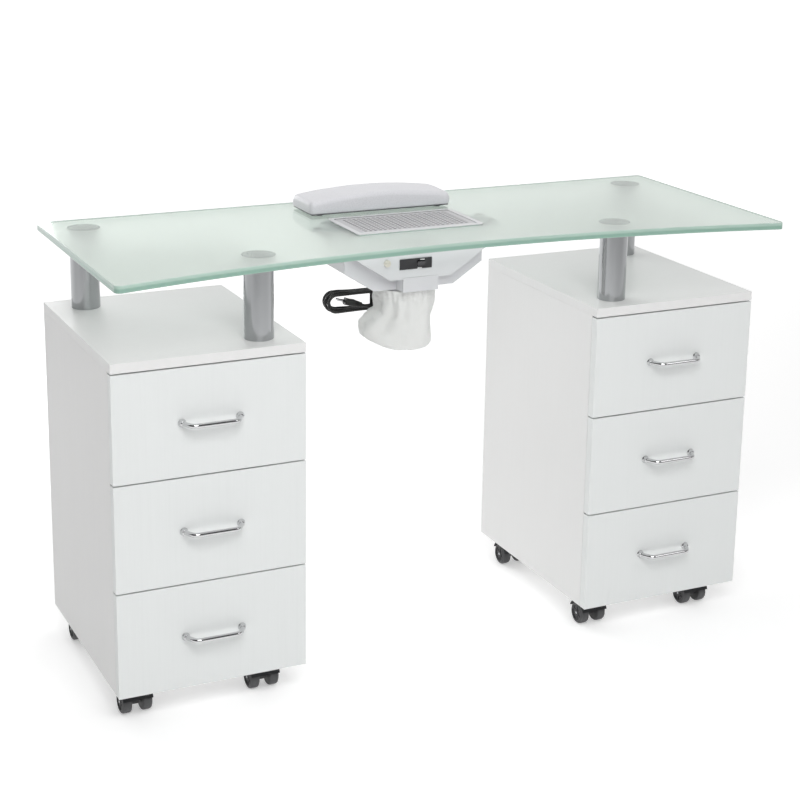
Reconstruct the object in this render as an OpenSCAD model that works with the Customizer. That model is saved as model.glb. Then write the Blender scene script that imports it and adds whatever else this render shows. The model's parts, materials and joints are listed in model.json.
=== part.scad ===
// Manicure table: a frosted glass top on aluminium posts over two drawer cabinets on
// casters, with a dust extractor let into the glass and a loose wrist cushion behind it.
// Origin: centre of the footprint, on the floor. +X runs along the table, the drawers
// open towards -Y, and +Z is up.

/* [Glass top] */
// Width along X
glass_w = 1200; // [1160:10:1260]
// Depth from the front corners to the straight back edge
glass_d = 470; // [450:5:500]
// Thickness
glass_t = 12; // [10:1:15]
// Height of the working surface above the floor
table_h = 750; // [740:5:780]
// How far the middle of the front edge curves back
front_sag = 68; // [40:2:80]
// Radius of the rounded corners
corner_r = 10; // [4:1:20]

/* [Cabinets] */
// Width of one cabinet
cab_w = 322; // [310:2:340]
// Depth from the drawer fronts to the back
cab_d = 400; // [390:5:420]
// Height from the bottom board to the top board
cab_h = 560; // [540:5:580]
// Distance from the table's centre to a cabinet's outer side
cab_reach = 592; // [580:2:600]
// Thickness of the boards
board_t = 16; // [15:1:18]
// Gap above each drawer front
front_gap = 2.5; // [2:0.5:4]

/* [Drawers] */
// Thickness of the drawer box boards
box_t = 12; // [10:1:13]
// Height of a drawer box
box_h = 120; // [100:5:130]
// Depth of a drawer box
box_d = 340; // [300:10:345]
// Room for a runner on each side of a box
runner_gap = 12.5; // [12.5:0.5:13]
// Distance between a handle's feet
handle_pitch = 96; // [96:32:128]
// Distance from the drawer front to the middle of the handle's bar
handle_out = 24; // [22:1:32]
// Radius of the handle's rod
handle_r = 4; // [3.5:0.5:5]

/* [Posts] */
// Radius of a post
post_r = 24.5; // [20:0.5:26]
// Radius of the disc bonded under the glass
disc_r = 28; // [27:0.5:32]
// Thickness of that disc
disc_t = 8; // [6:1:10]
// Distance of the inner posts from the table's centre
post_inner_x = 330; // [325:1:335]
// Distance of the outer posts from the table's centre
post_outer_x = 533; // [525:1:545]

/* [Casters] */
// Height of a caster, and of the cabinets above the floor
caster_h = 50; // [50:1:60]
// Radius of a wheel
wheel_r = 20; // [18:0.5:20]
// Width of one of the twin wheels
wheel_w = 17; // [14:1:18]
// Distance of a caster's swivel from the cabinet's left side, front and back
caster_inset = 40; // [38:1:50]
// Distance of a caster's swivel from the cabinet's right side
caster_inset_right = 61; // [38:1:70]
// Distance from the swivel to the axle
caster_trail = 11; // [8:1:12]

/* [Dust extractor] */
// Middle of the grille along X
ext_x = -15; // [-30:1:30]
// Middle of the grille along Y
ext_y = 10; // [0:1:20]
// Width of the grille frame
frame_w = 236; // [230:2:240]
// Depth of the grille frame
frame_d = 132; // [128:2:134]
// Half width of the housing just under the glass
housing_half = 130; // [128:1:136]
// Thickness of the moulded walls
wall = 2.5; // [2:0.5:3]
// Radius of the fan
fan_r = 43; // [38:1:44]
// Radius of the outlet ring that the dust bag hangs from
ring_r = 50; // [48:1:52]

/* [Cushion and lead] */
// Length of the wrist cushion
cushion_l = 272; // [250:2:300]
// Depth of the wrist cushion
cushion_d = 92; // [80:2:100]
// Height of the cushion's crown above the glass
cushion_h = 37; // [30:1:50]
// Diameter of the mains lead
cord_d = 5; // [4.5:0.5:6]

/* [Hidden] */
$fn = 64;

// Names for the parameters that place a repeated piece
LEFT = -1;
RIGHT = 1;
FRONT = -1;
BACK = 1;
INNER = -1;
OUTER = 1;
TOP = 2;
MIDDLE = 1;
BOTTOM = 0;

// Colours
melamine = [0.93, 0.93, 0.92];
front_white = [0.90, 0.92, 0.92];
frosted = [0.80, 0.91, 0.87, 0.7];
satin_metal = [0.72, 0.73, 0.74];
moulded = [0.88, 0.88, 0.91];
dark_plastic = [0.20, 0.20, 0.21];

// Hairline joint between boards and other bench clearances
joint = 0.2;
touch = 0.5;

// Heights
cab_z0 = caster_h;
cab_z1 = cab_z0 + cab_h;
glass_z = table_h - glass_t;

// Depths: the cabinets stand flush with the glass's back edge
back_y = glass_d / 2;
front_y = back_y - cab_d;
front_t = board_t;
carcass_y = front_y + front_t + 1;
carcass_d = back_y - carcass_y;
cab_x = cab_reach - cab_w / 2;
inner_w = cab_w - 2 * board_t;

// Posts
post_front_inset = 54;
post_back_inset = 56;
post_front_y = front_y + post_front_inset;
post_back_y = back_y - post_back_inset;
bolt_r = 4;
bolt_hole_r = 4.3;
post_wall = 2.5;
post_plug = 14;

// Drawers
row_pitch = (cab_h - board_t) / 3;
front_h = row_pitch - front_gap;
box_w = inner_w - 2 * runner_gap;
box_y = front_y + front_t;
box_lift = 18;
base_t = 4;
base_lift = 8;
rail_t = 1.2;
rail_outer_h = 42;
rail_inner_h = 37;
rail_reach = 9.5;
rail_len = 330;
rail_y = carcass_y + 3;
rail_lift = 44;

// Extractor: z levels of the control box and of the body behind it
control_z = 666;
body_z = 643;
control_half = 57;
body_half = 75;
duct_half = 33;
slant = 33;
control_y = ext_y - 65;
body_y = ext_y - 38;
housing_back_y = ext_y + 66;
fan_y = ext_y + 2;
fan_z = 648;
motor_z = 664;
motor_r = 22;
motor_h = 28;
shaft_r = 2.5;
fan_hole_r = fan_r + 1.5;
panel_t = 3;
duct_h = 40;
duct_hollow_h = 30;
switch_x = ext_x - 10.5;
switch_z = 692.5;
switch_w = 60;
switch_h = 18;
rocker_x = ext_x - 1;
rocker_w = 13;
rocker_h = 11;
fuse_x = ext_x - 64;
fuse_z = 697;
bracket_reach = 38;
bracket_z = 724;
screw_pitch = 42;
clamp_x = housing_half + bracket_reach - 14;

// Mains lead: hank of long turns lying flat in a plane parallel to XZ
cord_r = cord_d / 2;
hank_x = -67;
hank_y = 95;
hank_z = 596;
hank_run = 85;
hank_fold_r = 15;
hank_layers = 6;
hank_pitch = 5.2;
tie_x = -30;
gland_x = 20;
gland_z = 690;
gland_flange_t = 2;
gland_l = 28;
lead_points = [
    [20, 106, 690], [20, 118, 685], [20, 126, 673], [20, 128, 658], [20, 127, 642],
    [20, 124, 624], [20, 121, 608], [18.5, 118.5, 595], [14, 115.5, 586.5], [7, 113, 582],
    [-2, 110.5, 581], [-13, 109, 581], [-24, 108, 581]
];

// ---------------------------------------------------------------- helpers

module centred_box(size, at = [0, 0, 0]) {
    translate([at[0] - size[0] / 2, at[1] - size[1] / 2, at[2]])
        cube(size);
}

module rounded_rect(w, d, r) {
    union() {
        square([w - 2 * r, d], center = true);
        square([w, d - 2 * r], center = true);
        for (x = [-1, 1], y = [-1, 1])
            translate([x * (w / 2 - r), y * (d / 2 - r)])
                circle(r);
    }
}

module rod_x(r, length) {
    rotate([0, 90, 0])
        cylinder(r = r, h = length, center = true);
}

module rod_y(r, length) {
    rotate([-90, 0, 0])
        cylinder(r = r, h = length);
}

// Extrudes an outline drawn in X and Z along +Y, starting at y0
module along_y(y0, length) {
    translate([0, y0 + length, 0])
        rotate([90, 0, 0])
            linear_extrude(length)
                children();
}

function post_spots(side) = [
    [side * post_inner_x, post_front_y],
    [side * post_outer_x, post_back_y]
];

module at_posts() {
    for (side = [LEFT, RIGHT], spot = post_spots(side))
        translate([spot[0], spot[1], 0])
            children();
}

// ---------------------------------------------------------------- glass top

// The front edge is one arc that starts where the two rounded corners end
arc_half = glass_w / 2 - corner_r;
front_arc_r = (pow(arc_half, 2) + pow(front_sag, 2)) / (2 * front_sag);

module glass_outline() {
    difference() {
        rounded_rect(glass_w, glass_d, corner_r);
        translate([0, -glass_d / 2 + front_sag - front_arc_r])
            circle(front_arc_r, $fn = 360);
    }
}

module glass_top() {
    cut_w = frame_w - 10;
    cut_d = frame_d - 10;
    color(frosted)
        translate([0, 0, glass_z])
            linear_extrude(glass_t)
                difference() {
                    glass_outline();
                    translate([ext_x, ext_y])
                        rounded_rect(cut_w, cut_d, 6);
                }
}

// ---------------------------------------------------------------- posts

module support_posts() {
    post_h = glass_z - disc_t - cab_z1;
    color(satin_metal)
        at_posts()
            translate([0, 0, cab_z1])
                difference() {
                    cylinder(r = post_r, h = post_h);
                    translate([0, 0, post_plug])
                        cylinder(r = post_r - post_wall, h = post_h);
                    translate([0, 0, -1])
                        cylinder(r = bolt_hole_r, h = post_plug + 2);
                }
}

module post_discs() {
    color(satin_metal)
        at_posts()
            translate([0, 0, glass_z - disc_t])
                cylinder(r = disc_r, h = disc_t);
}

// ---------------------------------------------------------------- cabinets

module cabinet(side) {
    side_h = cab_h - board_t - joint;
    color(melamine)
        difference() {
            translate([side * cab_x, 0, 0]) {
                // top board, over the drawer fronts too
                translate([-cab_w / 2, front_y, cab_z1 - board_t])
                    cube([cab_w, cab_d, board_t]);
                // two sides
                for (s = [-1, 1])
                    translate([s * (cab_w - board_t) / 2 - board_t / 2, carcass_y, cab_z0])
                        cube([board_t, carcass_d, side_h]);
                // bottom and back boards between the sides
                translate([-inner_w / 2 + joint, carcass_y, cab_z0])
                    cube([inner_w - 2 * joint, carcass_d - board_t - joint, board_t]);
                translate([-inner_w / 2 + joint, back_y - board_t, cab_z0])
                    cube([inner_w - 2 * joint, board_t, side_h]);
            }
            for (spot = post_spots(side))
                translate([spot[0], spot[1], cab_z1 - board_t - 1])
                    cylinder(r = bolt_hole_r, h = board_t + 2);
        }
}

// C-shaped rail standing on its web at x = 0, with the flanges towards +X
module rail(h, reach) {
    translate([0, 0, -h / 2]) {
        cube([rail_t, rail_len, h]);
        cube([reach, rail_len, rail_t]);
        translate([0, 0, h - rail_t])
            cube([reach, rail_len, rail_t]);
    }
}

function row_z(row) = cab_z0 + row * row_pitch;
function rail_z(row) = row_z(row) + box_lift + rail_lift;

module runner_rails() {
    color(satin_metal)
        for (side = [LEFT, RIGHT], row = [BOTTOM, MIDDLE, TOP], s = [0, 1])
            translate([side * cab_x, rail_y, rail_z(row)])
                mirror([s, 0, 0])
                    translate([-inner_w / 2, 0, 0])
                        rail(rail_outer_h, rail_reach);
}

// ---------------------------------------------------------------- drawers

module drawer_front(side, row) {
    handle_z = row_z(row) + front_h / 2;
    screw_hole_r = 2.2;
    color(front_white)
        difference() {
            translate([side * cab_x - cab_w / 2, front_y, row_z(row)])
                cube([cab_w, front_t, front_h]);
            for (x = [-1, 1])
                translate([side * cab_x + x * handle_pitch / 2, front_y - 1, handle_z])
                    rod_y(screw_hole_r, front_t + 2);
        }
}

module drawer_box(side, row) {
    wall_l = box_d - 2 * box_t - 2 * joint;
    base_w = box_w - 2 * box_t - 2 * joint;
    color(melamine)
        translate([side * cab_x, box_y, row_z(row) + box_lift]) {
            // front and back walls
            for (y = [0, box_d - box_t])
                centred_box([box_w, box_t, box_h], [0, y + box_t / 2, 0]);
            // side walls
            for (x = [-1, 1])
                centred_box([box_t, wall_l, box_h], [x * (box_w - box_t) / 2, box_d / 2, 0]);
            // base
            centred_box([base_w, wall_l, base_t], [0, box_d / 2, base_lift]);
        }
    // the moving rails on both sides
    color(satin_metal)
        for (s = [0, 1])
            translate([side * cab_x, rail_y, rail_z(row)])
                mirror([s, 0, 0])
                    translate([-box_w / 2 - joint, 0, 0])
                        mirror([1, 0, 0])
                            rail(rail_inner_h, rail_reach);
}

// Bow handle: a straight bar, a bend at each end, a leaning leg and a flared foot.
// The bends are a hair thicker than the rod, and the rod laps a little way into them.
module drawer_handle(side, row) {
    bend_r = 12;
    bend_swell = 0.06;
    lap = 0.8;
    lean = 60;
    foot_r = 7;
    foot_h = 7;
    bar_half = 30;
    leg_x = bar_half + bend_r * sin(lean);
    leg_y = -handle_out + bend_r * (1 - cos(lean));
    leg_end_y = -2;
    leg_l = (leg_end_y - leg_y) / sin(lean);
    color("silver")
        translate([side * cab_x, front_y, row_z(row) + front_h / 2]) {
            translate([0, -handle_out, 0])
                rod_x(handle_r, 2 * (bar_half + lap));
            for (s = [0, 1])
                mirror([s, 0, 0]) {
                    translate([bar_half, bend_r - handle_out, 0])
                        rotate([0, 0, -90])
                            rotate_extrude(angle = lean)
                                translate([bend_r, 0])
                                    circle(handle_r + bend_swell);
                    translate([leg_x, leg_y, 0])
                        rotate([0, 0, lean])
                            translate([-lap, 0, 0])
                                rotate([0, 90, 0])
                                    cylinder(r = handle_r, h = leg_l + lap);
                    translate([handle_pitch / 2, -foot_h, 0])
                        rotate([-90, 0, 0])
                            cylinder(r1 = handle_r + 1, r2 = foot_r, h = foot_h);
                }
        }
}

// ---------------------------------------------------------------- casters

function caster_inset_x(way) = way > 0 ? caster_inset_right : caster_inset;

function caster_spot(side, depth, across) = [
    side * (cab_x + across * (cab_w / 2 - caster_inset_x(side * across))),
    (depth == FRONT ? front_y : back_y) - depth * caster_inset
];

plate_t = 3;
boss_r = 8;
boss_h = 2.5;
pin_r = 4;
pin_bore_r = 4.05;
pin_gap = 1.2;
axle_r = 3;
axle_bore_r = 3.05;
wheel_x = 17;

module caster_plates() {
    plate_w = 38;
    color(satin_metal)
        for (side = [LEFT, RIGHT], depth = [FRONT, BACK], across = [INNER, OUTER])
            translate(concat(caster_spot(side, depth, across), [cab_z0 - plate_t]))
                difference() {
                    union() {
                        linear_extrude(plate_t)
                            rounded_rect(plate_w, plate_w, 4);
                        translate([0, 0, -boss_h])
                            cylinder(r = boss_r, h = boss_h + 1);
                    }
                    translate([0, 0, -boss_h - 1])
                        cylinder(r = pin_bore_r, h = boss_h + plate_t + 0.2);
                }
}

// Turning frame between the twin wheels, with its hood, axle and swivel pin
module caster_fork(side, depth, across) {
    web_w = 12;
    web_d = 16;
    hub_r = 8;
    hood_r = wheel_r + 4;
    hood_w = 2 * wheel_x + wheel_w;
    hood_t = 2.5;
    hood_edge = 8;
    pin_z = wheel_r + 14;
    color(dark_plastic)
        translate(concat(caster_spot(side, depth, across), [0])) {
            translate([0, -depth * caster_trail, wheel_r]) {
                rod_x(axle_r, hood_w);
                rod_x(hub_r, web_w);
                // web up to the hood
                centred_box([web_w, web_d, hood_r - hood_t]);
                // hood over both wheels, cut off level a little above the axle
                difference() {
                    rod_x(hood_r, hood_w);
                    rod_x(hood_r - hood_t, hood_w + 2);
                    centred_box([hood_w + 2, 4 * hood_r, 2 * hood_r], [0, 0, hood_edge - 2 * hood_r]);
                }
            }
            // swivel pin, rising from inside the web
            translate([0, 0, pin_z])
                cylinder(r = pin_r, h = cab_z0 - pin_gap - pin_z);
        }
}

// Profile of one wheel: radius in X, width in Y, with a dished outer face
module wheel_profile() {
    half = wheel_w / 2;
    polygon([
        [axle_bore_r, -half], [wheel_r - 3.5, -half], [wheel_r - 1, -half + 1.2],
        [wheel_r, -half + 3.5], [wheel_r, half - 3.5], [wheel_r - 1, half - 1.2],
        [wheel_r - 3.5, half], [wheel_r - 6, half], [wheel_r - 7, half - 1.5],
        [6, half - 1.5], [5, half], [axle_bore_r, half]
    ]);
}

module caster_wheels(side, depth, across) {
    color([0.32, 0.32, 0.33])
        translate(concat(caster_spot(side, depth, across), [wheel_r]))
            translate([0, -depth * caster_trail, 0])
                for (s = [0, 1])
                    mirror([s, 0, 0])
                        translate([wheel_x, 0, 0])
                            rotate([0, 90, 0])
                                rotate_extrude()
                                    wheel_profile();
}

// ---------------------------------------------------------------- dust extractor

flange_t = 2;
grille_t = 4;
skirt_w = frame_w - 14;
skirt_d = frame_d - 14;
skirt_t = 6;
seat_t = 2;
seat_r = 3;

module grille_frame() {
    skirt_l = 26;
    color(moulded)
        translate([ext_x, ext_y, 0])
            difference() {
                union() {
                    translate([0, 0, table_h])
                        linear_extrude(flange_t)
                            rounded_rect(frame_w, frame_d, 5);
                    translate([0, 0, table_h - skirt_l])
                        linear_extrude(skirt_l + 1)
                            rounded_rect(skirt_w, skirt_d, 4);
                }
                // seat for the grille, then the open throat below it
                translate([0, 0, table_h + flange_t - grille_t])
                    linear_extrude(grille_t + 1)
                        rounded_rect(skirt_w - 2 * seat_t, skirt_d - 2 * seat_t, seat_r);
                translate([0, 0, table_h - skirt_l - 1])
                    linear_extrude(skirt_l + flange_t + 2)
                        rounded_rect(skirt_w - 2 * skirt_t, skirt_d - 2 * skirt_t, seat_r);
            }
}

// Lift-out grille with rows of short slots
module grille() {
    grille_w = skirt_w - 2 * seat_t - 2 * touch;
    grille_d = skirt_d - 2 * seat_t - 2 * touch;
    rows = 11;
    columns = 22;
    slot_l = 6.6;
    slot_w = 5;
    pitch_x = 9;
    pitch_y = 9;
    color([0.70, 0.70, 0.72])
        translate([ext_x, ext_y, table_h + flange_t - grille_t])
            linear_extrude(grille_t)
                difference() {
                    rounded_rect(grille_w, grille_d, seat_r - touch);
                    for (i = [0:columns - 1], j = [0:rows - 1])
                        translate([(i - (columns - 1) / 2) * pitch_x, (j - (rows - 1) / 2) * pitch_y])
                            square([slot_l, slot_w], center = true);
                }
}

// Outline of a hopper in X and Z: a flat bottom, slanted flanks and upright sides
function hopper(half, z0, full) = [
    [-half, z0], [half, z0], [full, z0 + (full - half) * tan(slant)], [full, glass_z],
    [-full, glass_z], [-full, z0 + (full - half) * tan(slant)]
];

module hopper_prism(half, z0, full, y0, y1) {
    translate([ext_x, 0, 0])
        along_y(y0, y1 - y0)
            polygon(hopper(half, z0, full));
}

module extractor_housing() {
    // the slanted walls stay as thick as the flat ones
    inset = wall * tan(slant / 2);
    color(moulded)
        difference() {
            union() {
                hopper_prism(body_half, body_z, housing_half, body_y, housing_back_y);
                hopper_prism(control_half, control_z, housing_half, control_y + panel_t, body_y + 1);
                centred_box([2 * duct_half, body_y - control_y + 1, duct_h],
                            [ext_x, (control_y + body_y + 1) / 2, body_z]);
            }
            // hollow of the body, of the control box and of the duct under it
            translate([0, 0, touch])
                hopper_prism(body_half - inset, body_z + wall - touch, housing_half - wall,
                             body_y + wall, housing_back_y - wall);
            translate([0, 0, touch])
                hopper_prism(control_half - inset, control_z + wall - touch, housing_half - wall,
                             control_y - 1, body_y + 2 * wall);
            centred_box([2 * (duct_half - wall), body_y - control_y, duct_hollow_h],
                        [ext_x, (control_y + body_y) / 2 + wall + touch, body_z + wall]);
            // outlet under the fan, and the hole for the cord gland
            translate([ext_x, fan_y, body_z - 1])
                cylinder(r = fan_hole_r, h = wall + 2);
            translate([gland_x, housing_back_y - wall - 1, gland_z])
                rod_y(cord_r + 1, wall + 2);
        }
}

module control_panel() {
    window_w = rocker_w + 5;
    window_h = rocker_h + 5;
    color([0.86, 0.86, 0.89])
        difference() {
            hopper_prism(control_half, control_z, housing_half, control_y, control_y + panel_t);
            // the duct's front stands in the middle of the lower edge
            centred_box([2 * duct_half + 2 * joint, 2 * panel_t + 2, control_z + wall + joint - body_z],
                        [ext_x, control_y, body_z]);
            centred_box([window_w, 2 * panel_t + 2, window_h],
                        [rocker_x, control_y, switch_z - window_h / 2]);
            translate([fuse_x, control_y - 1, fuse_z])
                rod_y(fuse_stem_r + 0.1, panel_t + 2);
        }
}

// Face plate with the cheeks that carry the rocker's pivots
pivot_back = 7;
pivot_r = 1.4;
pivot_bore_r = 1.45;

module switch_plate() {
    plate_front = 1.5;
    cheek_t = 2;
    cheek_l = 13;
    gap = 0.4;
    color([0.08, 0.08, 0.09])
        difference() {
            union() {
                translate([switch_x - switch_w / 2, control_y - plate_front, switch_z - switch_h / 2])
                    cube([switch_w, plate_front, switch_h]);
                for (s = [-1, 1])
                    translate([rocker_x + s * (rocker_w / 2 + gap + cheek_t / 2) - cheek_t / 2,
                               control_y - 1, switch_z - rocker_h / 2])
                        cube([cheek_t, cheek_l, rocker_h]);
            }
            translate([rocker_x - rocker_w / 2 - gap, control_y - 3, switch_z - rocker_h / 2 - gap])
                cube([rocker_w + 2 * gap, 4, rocker_h + 2 * gap]);
            translate([rocker_x, control_y + pivot_back, switch_z])
                rod_x(pivot_bore_r, rocker_w + 12);
        }
}

// Rocker, shown in its off position: two faces that meet in a shallow V
module rocker_switch() {
    tilt = 6;
    face_y = -pivot_back - 2;
    top_z = rocker_h / 2 - 1;
    keel = 4;
    color([0.13, 0.13, 0.14])
        translate([rocker_x, control_y + pivot_back, switch_z])
            rotate([tilt, 0, 0]) {
                translate([-rocker_w / 2, 0, 0])
                    rotate([90, 0, 90])
                        linear_extrude(rocker_w)
                            polygon([
                                [face_y - 1, -top_z], [face_y, 0], [face_y - 1, top_z],
                                [0, keel], [keel - 1, 0], [0, -keel]
                            ]);
                rod_x(pivot_r, rocker_w + 4);
            }
}

fuse_stem_r = 3.9;

module fuse_cap() {
    cap_r = 6;
    cap_t = 4;
    bar_l = 10;
    bar_t = 2;
    color([0.86, 0.80, 0.66])
        translate([fuse_x, control_y, fuse_z]) {
            translate([0, -cap_t, 0])
                rod_y(cap_r, cap_t);
            translate([0, -touch, 0])
                rod_y(fuse_stem_r, 12);
            // finger bar across the face
            translate([-bar_l / 2, -cap_t - bar_t, -bar_t / 2])
                cube([bar_l, bar_t + touch, bar_t]);
        }
}

ring_h = 18;

module outlet_duct() {
    lip = 1.5;
    ring_t = 3;
    color(moulded)
        translate([ext_x, fan_y, body_z - ring_h])
            difference() {
                union() {
                    cylinder(r = ring_r, h = ring_h);
                    cylinder(r = ring_r + lip, h = 2 * lip);
                }
                translate([0, 0, -1])
                    cylinder(r = ring_r - ring_t, h = ring_h + 2);
            }
}

// Motor hung from a cross bar that spans the housing
module fan_motor() {
    bar_l = 2 * (housing_half - wall);
    bar_w = 22;
    bar_t = 3;
    bar_z = motor_z + motor_h;
    color([0.45, 0.45, 0.47])
        translate([ext_x, fan_y, 0]) {
            translate([0, 0, motor_z])
                cylinder(r = motor_r, h = motor_h);
            centred_box([bar_l, bar_w, bar_t], [0, 0, bar_z]);
            translate([0, 0, fan_z + 1])
                cylinder(r = shaft_r, h = motor_z - fan_z);
        }
}

module fan_impeller() {
    blades = 7;
    blade_pitch = 35;
    hub_r = 13;
    hub_h = 13;
    blade_l = fan_r - hub_r;
    blade_w = 18;
    blade_t = 1.6;
    color([0.30, 0.31, 0.33])
        translate([ext_x, fan_y, fan_z])
            difference() {
                union() {
                    cylinder(r = hub_r, h = hub_h);
                    for (i = [0:blades - 1])
                        rotate([0, 0, i * 360 / blades])
                            translate([hub_r - 1, 0, hub_h / 2])
                                rotate([blade_pitch, 0, 0])
                                    translate([0, -blade_w / 2, -blade_t / 2])
                                        cube([blade_l, blade_w, blade_t]);
                }
                translate([0, 0, 0.9])
                    cylinder(r = shaft_r + 0.05, h = hub_h);
            }
}

// Angle brackets on the housing's flanks, under the glass
module clamp_brackets() {
    bracket_t = 3;
    bracket_w = 64;
    bracket_h = 30;
    slot_r = 3.2;
    color(satin_metal)
        for (s = [0, 1])
            translate([ext_x, ext_y, 0])
                mirror([s, 0, 0])
                    difference() {
                        union() {
                            centred_box([bracket_t, bracket_w, bracket_h],
                                        [housing_half + bracket_t / 2, 0, bracket_z + bracket_t - bracket_h]);
                            centred_box([bracket_reach, bracket_w, bracket_t],
                                        [housing_half + bracket_reach / 2, 0, bracket_z]);
                        }
                        for (y = [-1, 1])
                            translate([clamp_x, y * screw_pitch / 2, bracket_z - 1])
                                cylinder(r = slot_r, h = bracket_t + 2);
                    }
}

// Post bolts under the cabinet tops, and the screws that clamp the extractor to the glass
module assembly_screws() {
    head_r = 7;
    head_h = 5;
    knob_h = 6;
    pad_r = 8;
    pad_h = 3;
    color([0.6, 0.6, 0.62]) {
        at_posts() {
            translate([0, 0, cab_z1 - board_t - head_h])
                cylinder(r = head_r, h = head_h);
            translate([0, 0, cab_z1 - board_t - 1])
                cylinder(r = bolt_r, h = board_t + post_plug - 2);
        }
        for (s = [-1, 1], y = [-1, 1])
            translate([ext_x + s * clamp_x, ext_y + y * screw_pitch / 2, 0]) {
                // shank, finger knob below the bracket and pad against the glass
                translate([0, 0, bracket_z - 12])
                    cylinder(r = 3, h = glass_z - bracket_z + 11);
                translate([0, 0, bracket_z - 16])
                    cylinder(r = head_r, h = knob_h);
                translate([0, 0, glass_z - pad_h])
                    cylinder(r = pad_r, h = pad_h);
            }
    }
}

// ---------------------------------------------------------------- soft parts

// Fabric bag, fullest near its foot and leaning a little to the left
module dust_bag() {
    mouth_z = body_z - ring_h - touch;
    mouth_r = ring_r + 4;
    belly_z = 560;
    belly_r = 63;
    foot_z = 531;
    foot_r = 57;
    hem = 6;
    color([0.93, 0.94, 0.93])
        hull() {
            translate([ext_x + 2, fan_y, mouth_z - hem])
                cylinder(r = mouth_r, h = hem, $fn = 32);
            translate([ext_x - 12, fan_y, belly_z])
                cylinder(r = belly_r, h = 20, $fn = 32);
            translate([ext_x - 13, fan_y - 2, foot_z])
                cylinder(r = foot_r, h = hem, $fn = 32);
        }
}

// Crowned pad on four small feet, free on the glass
module wrist_cushion() {
    foot_h = 3;
    foot_r = 7;
    foot_inset = [22, 16];
    end_h = 24;
    rise = cushion_h - end_h;
    half = cushion_l / 2;
    crown_r = (half * half + rise * rise) / (2 * rise);
    cushion_y = ext_y + 135;
    color([0.92, 0.91, 0.94])
        translate([ext_x - 3, cushion_y, table_h]) {
            intersection() {
                centred_box([cushion_l, cushion_d, cushion_h], [0, 0, foot_h]);
                translate([0, 0, cushion_h - crown_r])
                    rotate([90, 0, 0])
                        cylinder(r = crown_r, h = cushion_d + 2, center = true, $fn = 180);
            }
            for (x = [-1, 1], y = [-1, 1])
                translate([x * (half - foot_inset[0]), y * (cushion_d / 2 - foot_inset[1]), 0])
                    cylinder(r = foot_r, h = foot_h + 1);
        }
}

// ---------------------------------------------------------------- mains lead

module cord_gland() {
    flange_r = 8.5;
    root_r = 6;
    tip_r = 3.6;
    color(dark_plastic)
        translate([gland_x, housing_back_y, gland_z])
            difference() {
                union() {
                    rod_y(flange_r, gland_flange_t);
                    rotate([-90, 0, 0])
                        cylinder(r1 = root_r, r2 = tip_r, h = gland_l + gland_flange_t);
                }
                translate([0, -1, 0])
                    rod_y(cord_r + 0.1, gland_l + gland_flange_t + 2);
            }
}

function unit(v) = v / norm(v);

// Ring of points round a path point, square to the path
function ring(path, i, r, sides) =
    let (
        before = path[max(i - 1, 0)],
        after = path[min(i + 1, len(path) - 1)],
        ahead = unit(after - before),
        across = unit(cross(ahead, [1, 0.2, 0.1])),
        other = cross(ahead, across)
    )
    [for (k = [0:sides - 1])
        path[i] + r * (cos(k * 360 / sides) * across + sin(k * 360 / sides) * other)];

module tube(path, r, sides) {
    rings = len(path);
    points = [for (i = [0:rings - 1]) each ring(path, i, r, sides)];
    walls = [for (i = [0:rings - 2], k = [0:sides - 1])
        [i * sides + k, i * sides + (k + 1) % sides,
         (i + 1) * sides + (k + 1) % sides, (i + 1) * sides + k]];
    near_end = [for (k = [sides - 1:-1:0]) k];
    far_end = [for (k = [0:sides - 1]) (rings - 1) * sides + k];
    polyhedron(points, concat(walls, [near_end, far_end]));
}

module power_cord() {
    color([0.1, 0.1, 0.1])
        tube(lead_points, cord_r, 10);
}

module cord_hank() {
    outer_r = hank_fold_r + cord_r;
    depth = hank_layers * hank_pitch;
    color([0.12, 0.12, 0.12])
        translate([hank_x, hank_y - depth / 2, hank_z]) {
            for (s = [-1, 1])
                translate([s * hank_run / 2, 0, 0])
                    rod_y(outer_r, depth);
            translate([-hank_run / 2, 0, -outer_r])
                cube([hank_run, depth, 2 * outer_r]);
        }
}

// Strap round the hank, with a tail up to a stud on the housing's back
module cord_tie() {
    strap_t = 1.6;
    strap_w = 9;
    inner_h = 2 * (hank_fold_r + cord_r) + 2 * joint;
    inner_d = hank_layers * hank_pitch + 2 * joint;
    stud_z = 658;
    stud_r = 3.5;
    tail_over = 8;
    front_face = hank_y - inner_d / 2 - strap_t;
    color([0.15, 0.15, 0.15]) {
        translate([tie_x - strap_w / 2, 0, hank_z])
            rotate([90, 0, 90])
                linear_extrude(strap_w)
                    difference() {
                        translate([hank_y, 0])
                            square([inner_d + 2 * strap_t, inner_h + 2 * strap_t], center = true);
                        translate([hank_y, 0])
                            square([inner_d, inner_h], center = true);
                    }
        translate([tie_x - strap_w / 2, front_face, hank_z + inner_h / 2])
            cube([strap_w, strap_t, stud_z + tail_over - hank_z - inner_h / 2]);
        translate([tie_x, housing_back_y, stud_z])
            rod_y(stud_r, front_face + 2 * strap_t - housing_back_y);
    }
}

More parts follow.
